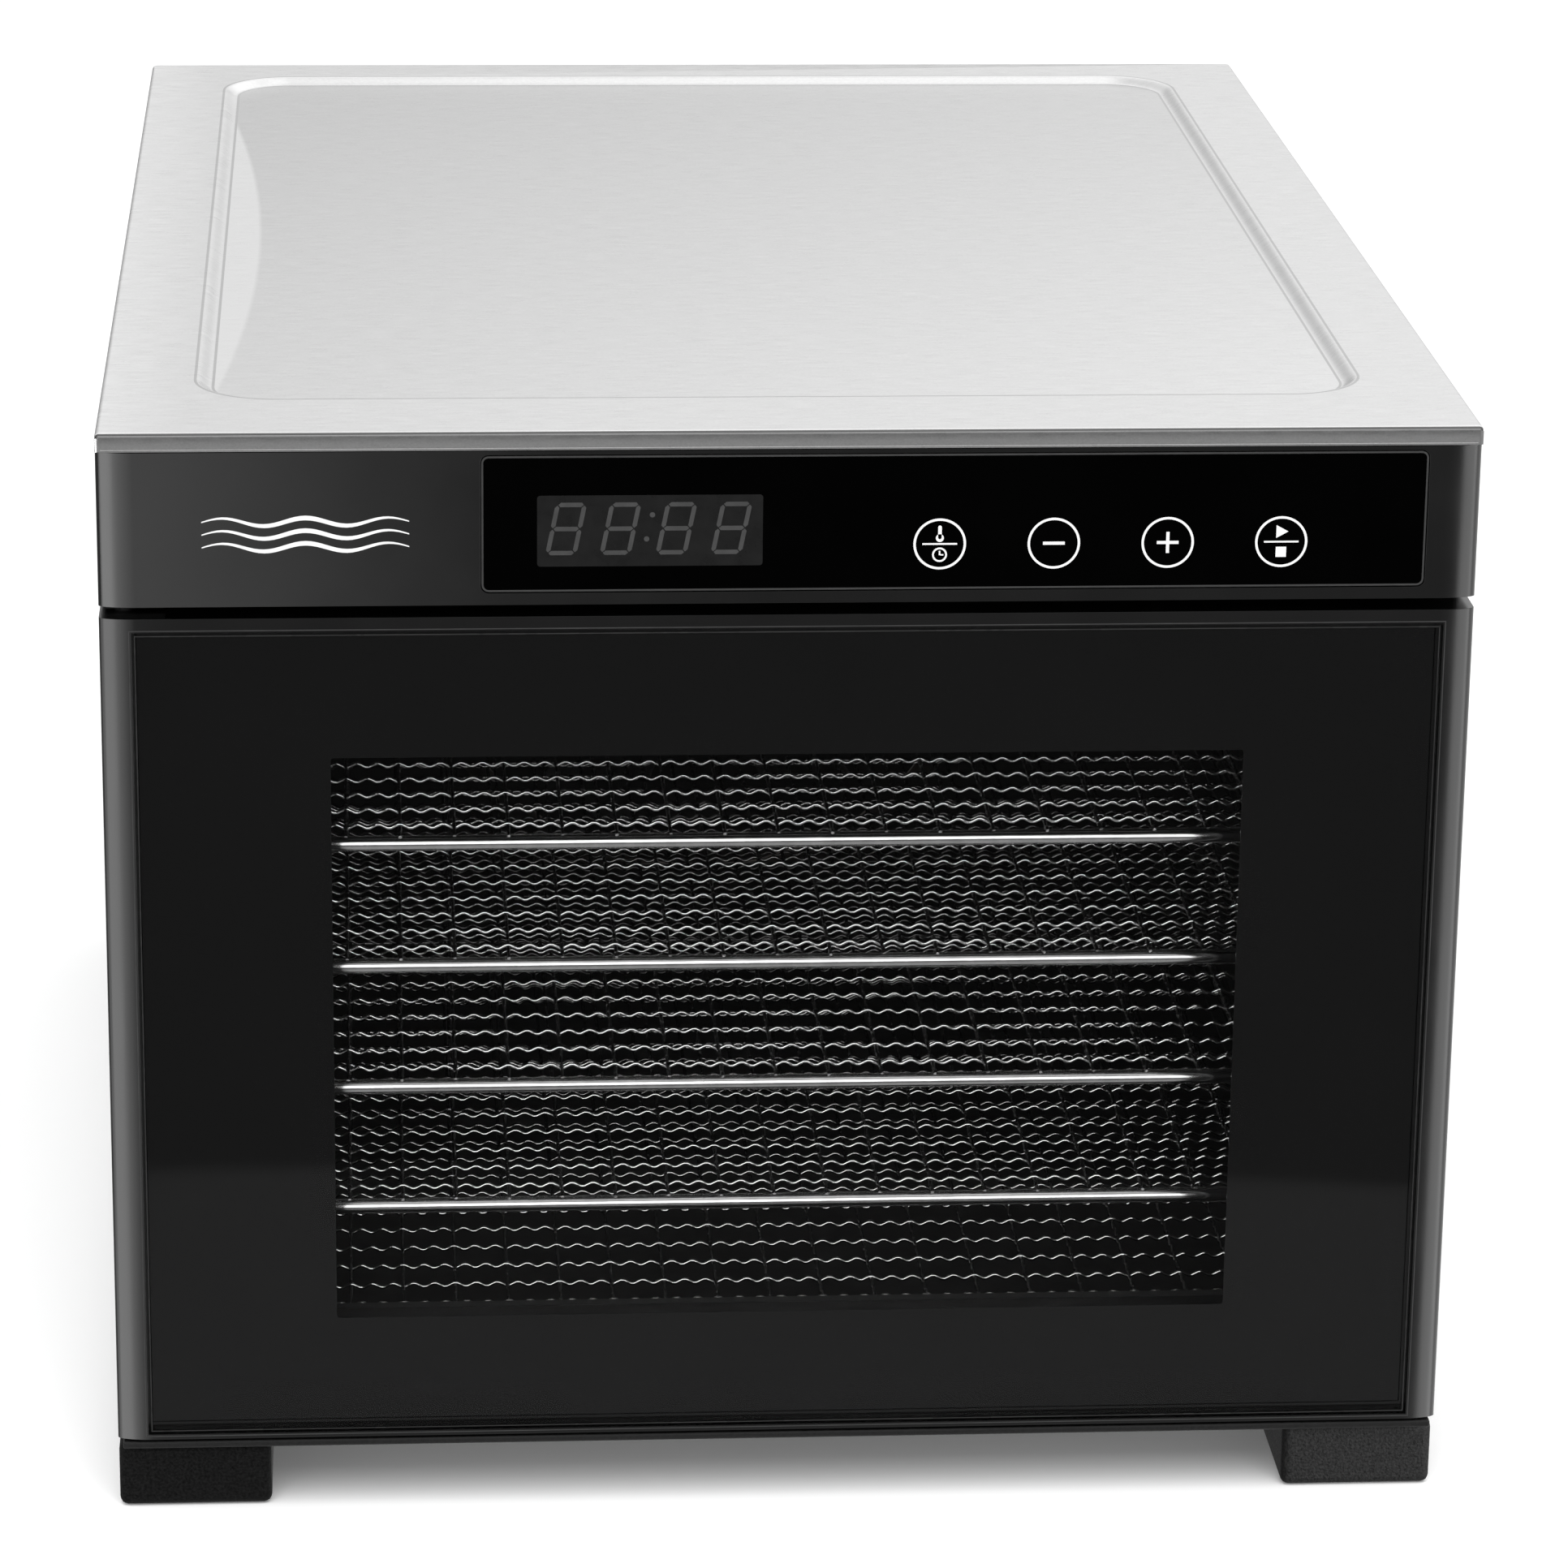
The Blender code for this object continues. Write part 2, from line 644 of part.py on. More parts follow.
def make_fan(steel, zinc):
    """Fan with pitched blades, its shaft and its nut, all on the fan's axis."""
    pivot = make_pivot("fan_axis", (0.0, FAN_PLANE, FAN_HEIGHT))
    hub_profile = [
        (SHAFT_RADIUS + CLEARANCE, -HUB_LENGTH / 2),
        (HUB_RADIUS, -HUB_LENGTH / 2),
        (HUB_RADIUS, HUB_LENGTH / 2),
        (SHAFT_RADIUS + CLEARANCE, HUB_LENGTH / 2),
    ]
    fan = turned("fan_blades", hub_profile, (0.0, FAN_PLANE, FAN_HEIGHT), "+Y", steel)
    helpers = []
    buried = 0.003
    root = HUB_RADIUS - buried
    for index in range(BLADES):
        bm = bmesh.new()
        bmesh.ops.create_cube(bm, size=1.0)
        bmesh.ops.scale(bm, vec=(FAN_RADIUS - root, BLADE_CHORD, BLADE_SHEET), verts=bm.verts)
        for vert in bm.verts:
            if vert.co.x < 0.0:
                vert.co.y *= BLADE_ROOT_TAPER
        bmesh.ops.translate(bm, vec=((FAN_RADIUS + root) / 2, 0.0, 0.0), verts=bm.verts)
        blade = finish(f"fan_blade_{index + 1}", bm, steel)
        blade.location = (0.0, FAN_PLANE, FAN_HEIGHT)
        turn = 2 * pi * index / BLADES
        blade.rotation_euler = (radians(90) + BLADE_PITCH, -turn, 0.0)
        helpers.append(blade)
        combine(fan, blade, "UNION")
    shaft_front = FAN_PLANE - SHAFT_NOSE
    shaft_length = MOTOR_FRONT + SHAFT_IN_MOTOR - shaft_front
    shaft = pin("motor_shaft", SHAFT_RADIUS, shaft_length, (0.0, shaft_front, FAN_HEIGHT), "+Y", zinc)
    hexagon_bore = (SHAFT_RADIUS + CLEARANCE) / cos(pi / 6)
    nut_profile = [
        (hexagon_bore, 0.0),
        (NUT_RADIUS, 0.0),
        (NUT_RADIUS, NUT_THICKNESS),
        (hexagon_bore, NUT_THICKNESS),
    ]
    nut_seat = FAN_PLANE - HUB_LENGTH / 2 - CLEARANCE
    nut = turned("fan_nut", nut_profile, (0.0, nut_seat, FAN_HEIGHT), "-Y", zinc, 6)
    bpy.context.view_layer.update()
    fan_mesh = settled_mesh(fan, helpers)
    fan = bpy.data.objects.new("fan_blades", fan_mesh)
    fan.location = (0.0, FAN_PLANE, FAN_HEIGHT)
    fan.rotation_euler = (radians(-90), 0.0, 0.0)
    bpy.context.collection.objects.link(fan)
    carry(pivot, [fan, shaft, nut])


def make_motor(zinc, black_plastic):
    """Fan motor, bored for the shaft, and the strap that holds it to the rear cover."""
    bore = SHAFT_RADIUS + CLEARANCE
    bore_depth = SHAFT_IN_MOTOR + 0.002
    nose = 0.004
    motor_length = MOTOR_BACK - MOTOR_FRONT
    motor_profile = [
        (0.0, bore_depth),
        (bore, bore_depth),
        (bore, 0.0),
        (MOTOR_RADIUS * 0.4, 0.0),
        (MOTOR_RADIUS * 0.45, nose),
        (MOTOR_RADIUS, nose),
        (MOTOR_RADIUS, motor_length),
        (0.0, motor_length),
    ]
    turned("fan_motor", motor_profile, (0.0, MOTOR_FRONT, FAN_HEIGHT), "+Y", zinc, 24)
    front = MOTOR_BACK + CLEARANCE
    end = REAR_COVER_FRONT - CLEARANCE
    right = [
        (BRACKET_HALF, front),
        (BRACKET_HALF, end - BRACKET_SHEET),
        (BRACKET_HALF + BRACKET_EAR, end - BRACKET_SHEET),
        (BRACKET_HALF + BRACKET_EAR, end),
        (BRACKET_HALF - BRACKET_SHEET, end),
        (BRACKET_HALF - BRACKET_SHEET, front + BRACKET_SHEET),
    ]
    left = [(-x, y) for x, y in reversed(right)]
    low = FAN_HEIGHT - BRACKET_HEIGHT / 2
    prism("motor_bracket", "Z", low, low + BRACKET_HEIGHT, right + left, black_plastic)


def make_heater(element, zinc, ceramic):
    """Tubular heating loop round the fan, its hanger and the thermal fuse."""
    gap = radians(14)
    steps = 28
    lead = Vector((0.0, 0.030, 0.004))
    points = []
    for step in range(steps + 1):
        angle = pi / 2 + gap + (2 * pi - 2 * gap) * step / steps
        points.append(
            (HEATER_RADIUS * cos(angle), FAN_PLANE, FAN_HEIGHT + HEATER_RADIUS * sin(angle))
        )
    first = Vector(points[0]) + lead
    last = Vector(points[-1]) + lead
    tube("heating_element", [first, *points, last], HEATER_TUBE, element)
    hanger_low = FAN_HEIGHT + HEATER_RADIUS + 0.018
    hanger_high = hanger_low + 0.0015
    hanger_y = (BAFFLE_FRONT + SHEET + CLEARANCE, FAN_PLANE - 0.006)
    block("heater_hanger", (-0.010, 0.010), hanger_y, (hanger_low, hanger_high), zinc)
    fuse_radius = 0.0025
    fuse_start = (0.0, BAFFLE_FRONT + 0.008, hanger_high + fuse_radius + 0.0005)
    pin("thermal_fuse", fuse_radius, 0.018, fuse_start, "+Y", ceramic, 10)


def make_rear(black_steel, black_plastic, zinc):
    """Rear cover with its air slots, the cord bushing and four screws."""
    bushing_x = -0.120
    bushing_z = 0.050
    barrel_radius = 0.0076
    corners = [(x, z) for x in (-0.156, 0.156) for z in (0.034, 0.270)]
    holes = [circle(x, z, SCREW_HOLE, 10) for x, z in corners]
    holes.append(circle(bushing_x, bushing_z, barrel_radius + 0.0004, 16))
    slot_rows = 12
    slot_pitch = 0.009
    slot_height = 0.0042
    slot_ends = (0.004, 0.066)
    for row in range(slot_rows):
        z = FAN_HEIGHT + slot_pitch * (row - (slot_rows - 1) / 2)
        for side in (-1, 1):
            low, high = sorted(side * end for end in slot_ends)
            holes.append(rectangle(low, high, z - slot_height / 2, z + slot_height / 2))
    outline = rectangle(-INNER_HALF_WIDTH, INNER_HALF_WIDTH, HOUSING_BOTTOM, HEIGHT - SHEET - CLEARANCE)
    prism("rear_cover", "Y", REAR_COVER_FRONT, REAR_COVER_BACK, outline, black_steel, holes)
    flange_front = REAR_COVER_BACK + CLEARANCE
    barrel_length = 0.012
    bore = 0.004
    flange = 0.0018
    bushing = [
        (bore, -barrel_length),
        (barrel_radius, -barrel_length),
        (barrel_radius, 0.0),
        (0.011, 0.0),
        (0.0105, flange),
        (bore, flange),
    ]
    turned("cord_bushing", bushing, (bushing_x, flange_front, bushing_z), "+Y", black_plastic, 16)
    for index, (x, z) in enumerate(corners):
        seat = (x, flange_front, z)
        screw(f"rear_screw_{index + 1}", REAR_SCREW_HEAD, flange, 0.008, seat, "+Y", zinc)


def make_door(moulding, glass, black_steel, rubber, zinc):
    """Door frame with its glass, liner, seal, strike plate and hinge pins, all on the hinge axis."""
    pivot = make_pivot("door_axis", (HINGE_X, HINGE_Y, DOOR_BOTTOM))
    frame = prism("door_frame", "Z", DOOR_BOTTOM, DOOR_TOP, front_plan(DOOR_FRAME_BACK), moulding)
    window = rectangle(-WINDOW_HALF, WINDOW_HALF, WINDOW_LOW, WINDOW_HIGH)
    opening = prism("door_opening", "Y", FRONT - CUTTER_REACH, BODY_FRONT, window, moulding)
    pocket_half = GLASS_HALF + GLASS_POCKET
    pocket_outline = rectangle(-pocket_half, pocket_half, GLASS_LOW - GLASS_POCKET, GLASS_HIGH + GLASS_POCKET)
    glass_back = GLASS_FRONT + GLASS_THICKNESS
    pocket_back = glass_back + CLEARANCE
    pocket = prism("door_glass_pocket", "Y", FRONT - CUTTER_REACH, pocket_back, pocket_outline, moulding)
    span = PIN_DEPTH + CUTTER_REACH
    bores = []
    for name, low in (("lower", DOOR_BOTTOM - CUTTER_REACH), ("upper", DOOR_TOP - PIN_DEPTH)):
        bores.append(pin(f"door_bore_{name}", PIN_BORE, span, (HINGE_X, HINGE_Y, low), "+Z", moulding, 12))
    for cutter in (opening, pocket, *bores):
        combine(frame, cutter, "DIFFERENCE")
    pane = block(
        "door_glass",
        (-GLASS_HALF, GLASS_HALF),
        (GLASS_FRONT, glass_back),
        (GLASS_LOW, GLASS_HIGH),
        glass,
        0.0004,
        1,
    )
    liner_low = DOOR_BOTTOM + CLEARANCE
    liner_high = DOOR_TOP - CLEARANCE
    liner_outline = rectangle(-DOOR_LINER_HALF, DOOR_LINER_HALF, liner_low, liner_high)
    liner_front = DOOR_FRAME_BACK + CLEARANCE
    liner = prism("door_liner", "Y", liner_front, DOOR_LINER_BACK, liner_outline, black_steel, [window])
    inner = rectangle(-SEAL_INNER_HALF, SEAL_INNER_HALF, SEAL_INNER_LOW, SEAL_INNER_HIGH)
    outer_half = SEAL_INNER_HALF + SEAL_WIDTH
    outer = rectangle(-outer_half, outer_half, SEAL_INNER_LOW - SEAL_WIDTH, SEAL_INNER_HIGH + SEAL_WIDTH)
    seal_back = BODY_FRONT - CLEARANCE
    seal = prism("door_seal", "Y", DOOR_LINER_BACK + CLEARANCE, seal_back, outer, rubber, [inner])
    strike = block(
        "strike_plate",
        (outer_half + 0.0011, DOOR_LINER_HALF - 0.0002),
        (DOOR_LINER_BACK + CLEARANCE, DOOR_LINER_BACK + 0.0013),
        (CATCH_LOW, CATCH_HIGH),
        zinc,
    )
    engaged = DOOR_BOTTOM - PAN_BOTTOM - CLEARANCE
    length = PIN_DEPTH - CLEARANCE + engaged
    low = DOOR_BOTTOM - engaged
    lower_pin = pin("hinge_pin_lower", PIN_RADIUS, length, (HINGE_X, HINGE_Y, low), "+Z", zinc)
    low = DOOR_TOP - PIN_DEPTH + CLEARANCE
    upper_pin = pin("hinge_pin_upper", PIN_RADIUS, length, (HINGE_X, HINGE_Y, low), "+Z", zinc)
    carry(pivot, [frame, pane, liner, seal, strike, lower_pin, upper_pin, opening, pocket, *bores])


def make_door_hardware(black_steel, magnet):
    """Upper hinge bracket and the catch magnet, both on the housing."""
    gap_middle = (DOOR_TOP + FASCIA_BOTTOM) / 2
    half_thickness = 0.0008
    eye = 2 * PIN_RADIUS
    outline = rectangle(-INNER_HALF_WIDTH, HINGE_X + 2 * eye, HINGE_Y - eye, BODY_FRONT - CLEARANCE)
    hole = circle(HINGE_X, HINGE_Y, PIN_BORE, 12)
    low = gap_middle - half_thickness
    high = gap_middle + half_thickness
    prism("hinge_bracket", "Z", low, high, outline, black_steel, [hole])
    magnet_x = (WALL_INNER + SHEET + 0.0035, INNER_HALF_WIDTH - 0.0019)
    block("door_magnet", magnet_x, (CHAMBER_FRONT, CHAMBER_FRONT + 0.005), (CATCH_LOW, CATCH_HIGH), magnet)


def build():
    """Make every part of the dehydrator."""
    clear_scene()
    steel = make_material("brushed_steel", (0.72, 0.72, 0.73), 0.32, 1.0)
    black_steel = make_material("black_steel", (0.03, 0.03, 0.032), 0.45, 0.4)
    enamel = make_material("dark_enamel", (0.012, 0.012, 0.013), 0.35)
    moulding = make_material("graphite_moulding", (0.035, 0.035, 0.038), 0.35)
    black_plastic = make_material("black_plastic", (0.02, 0.02, 0.02), 0.55)
    rubber = make_material("black_rubber", (0.018, 0.018, 0.018), 0.8)
    lens = make_material("gloss_black", (0.004, 0.004, 0.004), 0.06)
    glass = make_material("door_glass", (0.6, 0.62, 0.63), 0.03, 0.0, 0.9)
    display = make_material("display_grey", (0.03, 0.03, 0.03), 0.4)
    board = make_material("circuit_board", (0.02, 0.12, 0.05), 0.5)
    foam = make_material("dark_foam", (0.03, 0.03, 0.03), 0.9)
    zinc = make_material("zinc_plate", (0.55, 0.56, 0.58), 0.35, 1.0)
    wire = make_material("chromed_wire", (0.75, 0.75, 0.76), 0.2, 1.0)
    element = make_material("heater_tube", (0.20, 0.19, 0.18), 0.5, 0.8)
    ceramic = make_material("white_ceramic", (0.85, 0.83, 0.78), 0.5)
    magnet = make_material("magnet", (0.08, 0.08, 0.085), 0.5, 0.3)
    cable = make_material("grey_cable", (0.35, 0.35, 0.37), 0.6)
    make_housing(steel)
    make_base(black_plastic, rubber, zinc)
    make_fascia(moulding, lens, display, board, foam, black_plastic)
    make_power_electronics(board, black_plastic, zinc, cable)
    make_chamber(black_steel, enamel, zinc)
    make_trays(wire)
    make_fan(steel, zinc)
    make_motor(zinc, black_plastic)
    make_heater(element, zinc, ceramic)
    make_rear(black_steel, black_plastic, zinc)
    make_door(moulding, glass, black_steel, rubber, zinc)
    make_door_hardware(black_steel, magnet)


build()
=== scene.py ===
"""Looks of the cabinet food dehydrator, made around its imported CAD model.

Metres, +Z up, front towards -Y.
"""

import json
from math import cos, pi, radians, sin

import bmesh
import bpy
import numpy as np
from mathutils import Matrix, Vector


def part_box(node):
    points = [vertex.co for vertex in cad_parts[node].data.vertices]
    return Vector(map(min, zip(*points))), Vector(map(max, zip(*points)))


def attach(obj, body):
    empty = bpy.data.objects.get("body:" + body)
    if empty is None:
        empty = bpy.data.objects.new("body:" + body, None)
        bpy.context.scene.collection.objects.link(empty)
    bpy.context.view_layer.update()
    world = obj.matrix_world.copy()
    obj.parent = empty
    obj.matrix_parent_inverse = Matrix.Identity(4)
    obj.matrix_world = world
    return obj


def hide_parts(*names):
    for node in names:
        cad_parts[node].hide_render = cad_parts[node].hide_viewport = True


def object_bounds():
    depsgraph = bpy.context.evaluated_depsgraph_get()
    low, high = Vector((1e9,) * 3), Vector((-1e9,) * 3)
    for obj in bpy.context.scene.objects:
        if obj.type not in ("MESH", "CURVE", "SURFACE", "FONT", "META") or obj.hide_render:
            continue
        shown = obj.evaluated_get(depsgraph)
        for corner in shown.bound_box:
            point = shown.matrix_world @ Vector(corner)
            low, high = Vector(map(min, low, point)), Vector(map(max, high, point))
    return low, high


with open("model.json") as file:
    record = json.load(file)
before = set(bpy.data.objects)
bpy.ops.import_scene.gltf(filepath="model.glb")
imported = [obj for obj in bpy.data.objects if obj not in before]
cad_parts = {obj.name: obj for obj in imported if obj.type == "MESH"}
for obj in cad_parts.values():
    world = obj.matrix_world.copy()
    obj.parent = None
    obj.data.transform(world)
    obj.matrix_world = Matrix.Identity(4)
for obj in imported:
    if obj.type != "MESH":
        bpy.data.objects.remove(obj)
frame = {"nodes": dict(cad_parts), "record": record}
cad_low, cad_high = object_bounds()

# Camera
CAMERA_PLACE = (-0.104, -1.642, 0.659)
CAMERA_TURN = radians(4.14)
CAMERA_TILT = radians(18.09)
CAMERA_ROLL = radians(0.74)
CAMERA_LENS = 138.0

# The front's shape, as the CAD has it
FRONT = cad_low.y
HALF_WIDTH = cad_high.x
HEIGHT = cad_high.z
EDGE_REACH = 0.009
EDGE_DROP = 0.0025
EDGE_STEPS = 14
LIP_BOTTOM = 0.2814
BODY_FRONT = FRONT + 0.0231
WINDOW_HALF = 0.117
WINDOW_LOW = 0.049
WINDOW_HIGH = 0.205
CLEAR_HALF = 0.1138
CLEAR_LOW = 0.052
CLEAR_HIGH = 0.202
KEY_HEIGHT = 0.2569
KEY_FIRST = 0.0361
KEY_SPACING = 0.0282
MILLIMETRE = 0.001
PRINT_THICKNESS = 0.00004
PANEL_FRONT = FRONT + 0.0001
CUT_START = FRONT - 0.01

# The steel housing's sheet, its lip's round bars, and the pressing in its top
SHEET = 0.001
HEM_RADIUS = 0.0004
LIP_END_RADIUS = 0.0005
LIP_PROUD = 0.0002
BEND_RADIUS = 0.0012
CREASE_WIDTH = 0.0007
PRESSING_SIDE = 0.0235
PRESSING_FRONT = 0.033
PRESSING_BACK = 0.0185
PRESSING_RADIUS = 0.020
PRESSING_SLOPE = 0.0037
PRESSING_DEPTH = 0.0020
PRESSING_RINGS = 12
# Where the painted highlight lies: a shallow crescent by the pressing's left edge
CRESCENT_START = -0.1428
CRESCENT_WIDTH = 0.0105
CRESCENT_MIDDLE = -0.02
CRESCENT_REACH = 0.175
CRESCENT_EDGE = 0.0012

# Material slots of the housing's sheet, after its plain steel; the others are copies of it with painted
# shade on the lip, creases and bend, and painted light and shade on the pressing's floor
SHELL_LIP_SHADE = 1
SHELL_CREASE_SHADE = 2
SHELL_FLOOR = 3
SHELL_BEND_SHADE = 4

# Rear cover, its screws and its cord outlet
REAR_FACE = 0.2235 + 0.0003
SCREW_SHANK = 0.002
SCREW_RIM = 0.35
RECESS_DEPTH = 0.0009
RECESS_LONG = 0.0024
RECESS_NARROW = 0.0006
SLEEVE_BORE = 0.004
SLEEVE_NECK = 0.0076

# Tray wires: those along X and those along Y, with two and a half waves between crossings
ALONG_X_PITCH = 0.0127
ALONG_X_COUNT = 23
ALONG_Y_PITCH = 0.0138
ALONG_Y_COUNT = 21
WIRE_RADIUS = 0.0005
CRIMP_HEIGHT = 0.00056
CRIMP_WAVES = 2.5
CRIMP_STEPS = 6
MESH_HEIGHT = 0.0019
MESH_OVERHANG = 0.0006
# Painted shade on the tray wire: its tone falls to this share between these two depths, towards the tray's
# back
WIRE_SHADE_START = -0.07
WIRE_SHADE_END = 0.05
WIRE_SHADE_TONE = 0.25
ROD_RADIUS = 0.002
ROD_CORNER = 0.010

# Studio
FILL = 1.0
BACKDROP = 1.0
FLOOR_GLOW = 0.09
FLOOR_HALF = 8.0
FLOOR_DROP = 0.0002


# ---------------------------------------------------------------- materials

def feed(tree, socket, value):
    """Link another node's output to a socket, or set the socket's own value."""
    if isinstance(value, bpy.types.NodeSocket):
        tree.links.new(value, socket)
    else:
        socket.default_value = value


def add(tree, kind, settings=None, **inputs):
    """A node of a kind, with its settings and its inputs, each a value or another node's output."""
    made = tree.nodes.new(kind)
    for name, value in (settings or {}).items():
        setattr(made, name, value)
    for name, value in inputs.items():
        feed(tree, made.inputs[name.replace("_", " ")], value)
    return made


def new_material(name, **constants):
    """A Principled material with its plain values, and its node tree and shader."""
    made = bpy.data.materials.new(name)
    made.use_nodes = True
    shader = made.node_tree.nodes["Principled BSDF"]
    for socket, value in constants.items():
        shader.inputs[socket.replace("_", " ")].default_value = value
    return made, made.node_tree, shader


def noise(tree, size, stretch=(1.0, 1.0, 1.0), detail=2.0):
    """Noise in the object's own space, with features of a size in metres, longer where stretch is over 1."""
    place = add(tree, "ShaderNodeTexCoord").outputs["Object"]
    scale = [1.0 / (size * share) for share in stretch]
    mapped = add(tree, "ShaderNodeMapping", Vector=place, Scale=scale).outputs["Vector"]
    return add(tree, "ShaderNodeTexNoise", Vector=mapped, Scale=1.0, Detail=detail).outputs["Fac"]


def ranged(tree, value, low, high, start=0.3, end=0.7):
    """A value spread from low to high as its source goes from start to end."""
    inputs = {"Value": value, "From_Min": start, "From_Max": end, "To_Min": low, "To_Max": high}
    return add(tree, "ShaderNodeMapRange", **inputs).outputs["Result"]


def mixed(tree, share, first, second):
    """A colour between two, by a share from 0 to 1."""
    made = add(tree, "ShaderNodeMix", {"data_type": "RGBA"})
    feed(tree, made.inputs[0], share)
    for socket, value in ((made.inputs[6], first), (made.inputs[7], second)):
        feed(tree, socket, value if isinstance(value, bpy.types.NodeSocket) else (*value, 1.0))
    return made.outputs[2]


def blended(tree, share, first, second):
    """A plain value between two, by a share from 0 to 1."""
    made = add(tree, "ShaderNodeMix")
    for index, value in ((0, share), (2, first), (3, second)):
        feed(tree, made.inputs[index], value)
    return made.outputs[0]


def combined(tree, operation, first, second):
    """The sum, product or difference of two outputs."""
    made = add(tree, "ShaderNodeMath", {"operation": operation})
    feed(tree, made.inputs[0], first)
    feed(tree, made.inputs[1], second)
    return made.outputs[0]


def grey(level):
    """A neutral colour."""
    return (level, level, level)


def bumped(tree, shader, height, depth, strength=1.0):
    """Raise the surface by a height from 0 to 1, times a depth in metres."""
    bump = add(tree, "ShaderNodeBump", Height=height, Distance=depth, Strength=strength)
    tree.links.new(bump.outputs["Normal"], shader.inputs["Normal"])


def textured(
    name, dark, light, roughness, size, stretch=(1.0, 1.0, 1.0), grain=0.0005, depth=0.0, **constants
):
    """A finish whose tone and gloss drift over one noise, with a finer grain in relief."""
    made, tree, shader = new_material(name, **constants)
    drift = noise(tree, size, stretch, 3.0)
    share = ranged(tree, drift, 0.0, 1.0)
    tree.links.new(mixed(tree, share, dark, light), shader.inputs["Base Color"])
    tree.links.new(ranged(tree, drift, *roughness), shader.inputs["Roughness"])
    if depth:
        bumped(tree, shader, noise(tree, grain, stretch, 2.0), depth)
    return made


def sloped(tree, start, end):
    """A share that goes from 0 at one point of the plan to 1 at another, level across that line."""
    place = add(tree, "ShaderNodeTexCoord").outputs["Object"]
    along = np.array(end) - np.array(start)
    along = along / along.dot(along)
    dot = add(tree, "ShaderNodeVectorMath", {"operation": "DOT_PRODUCT"})
    tree.links.new(place, dot.inputs[0])
    dot.inputs[1].default_value = (along[0], along[1], 0.0)
    offset = float(along.dot(start))
    return ranged(tree, dot.outputs["Value"], 0.0, 1.0, offset, offset + 1.0)


def crescent(tree):
    """A share of 1 in a shallow crescent by the pressing's left edge, where a painted highlight lightens the
    steel.
    """
    place = add(tree, "ShaderNodeTexCoord").outputs["Object"]
    axes = add(tree, "ShaderNodeSeparateXYZ", Vector=place).outputs
    back = CRESCENT_MIDDLE + CRESCENT_REACH
    along = ranged(tree, axes["Y"], -1.0, 1.0, CRESCENT_MIDDLE - CRESCENT_REACH, back)
    square = combined(tree, "MULTIPLY", along, along)
    edge = ranged(tree, square, CRESCENT_START + CRESCENT_WIDTH, CRESCENT_START, 0.0, 1.0)
    inside = combined(tree, "SUBTRACT", edge, axes["X"])
    return ranged(tree, inside, 0.0, 1.0, 0.0, CRESCENT_EDGE)


def brushed(name, level, along, depth=0.000002, contrast=0.16, shade=None, painted_highlight=0.0):
    """Brushed steel whose grain runs long where `along` is over 1.

    `shade` is (start, end, start's tone), a painted gradient of light and shade across the plan; the
    crescent's tone is a painted highlight by the pressing's left edge.
    """
    made, tree, shader = new_material(name, Metallic=1.0)
    fine = noise(tree, 0.0004, along, 2.0)
    streak = noise(tree, 0.0010, [3.0 * share if share > 1.0 else share for share in along], 3.0)
    share = ranged(tree, combined(tree, "ADD", fine, streak), 0.0, 1.0, 0.55, 1.45)
    tone = mixed(tree, share, grey(level * (1.0 - contrast)), grey(level))
    if shade:
        # Painted light and shade: the tone slides from a dimmed copy to the full level across the plan.
        start, end, dim = shade
        shaded_tone = mixed(tree, share, grey(level * dim * (1.0 - contrast)), grey(level * dim))
        tone = mixed(tree, sloped(tree, start, end), shaded_tone, tone)
    # Painted highlight in the crescent by the pressing's left edge.
    if painted_highlight:
        tone = mixed(tree, crescent(tree), tone, grey(level * painted_highlight))
    tree.links.new(tone, shader.inputs["Base Color"])
    tree.links.new(ranged(tree, streak, 0.26, 0.36), shader.inputs["Roughness"])
    bumped(tree, shader, fine, depth)
    return made


def shaded_wire(name, dark, light, roughness):
    """Chromed wire, between two levels of grey, with painted shade that darkens it towards the tray's back,
    deep in the chamber.
    """
    made, tree, shader = new_material(name, Metallic=1.0)
    drift = noise(tree, 0.006, detail=3.0)
    change = ranged(tree, drift, 0.0, 1.0)
    unshaded = mixed(tree, change, grey(dark), grey(light))
    back_shade = mixed(tree, change, grey(dark * WIRE_SHADE_TONE), grey(light * WIRE_SHADE_TONE))
    # Painted shade: darker towards the tray's back.
    share = sloped(tree, (0.0, WIRE_SHADE_START), (0.0, WIRE_SHADE_END))
    tree.links.new(mixed(tree, share, unshaded, back_shade), shader.inputs["Base Color"])
    tree.links.new(ranged(tree, drift, *roughness), shader.inputs["Roughness"])
    return made


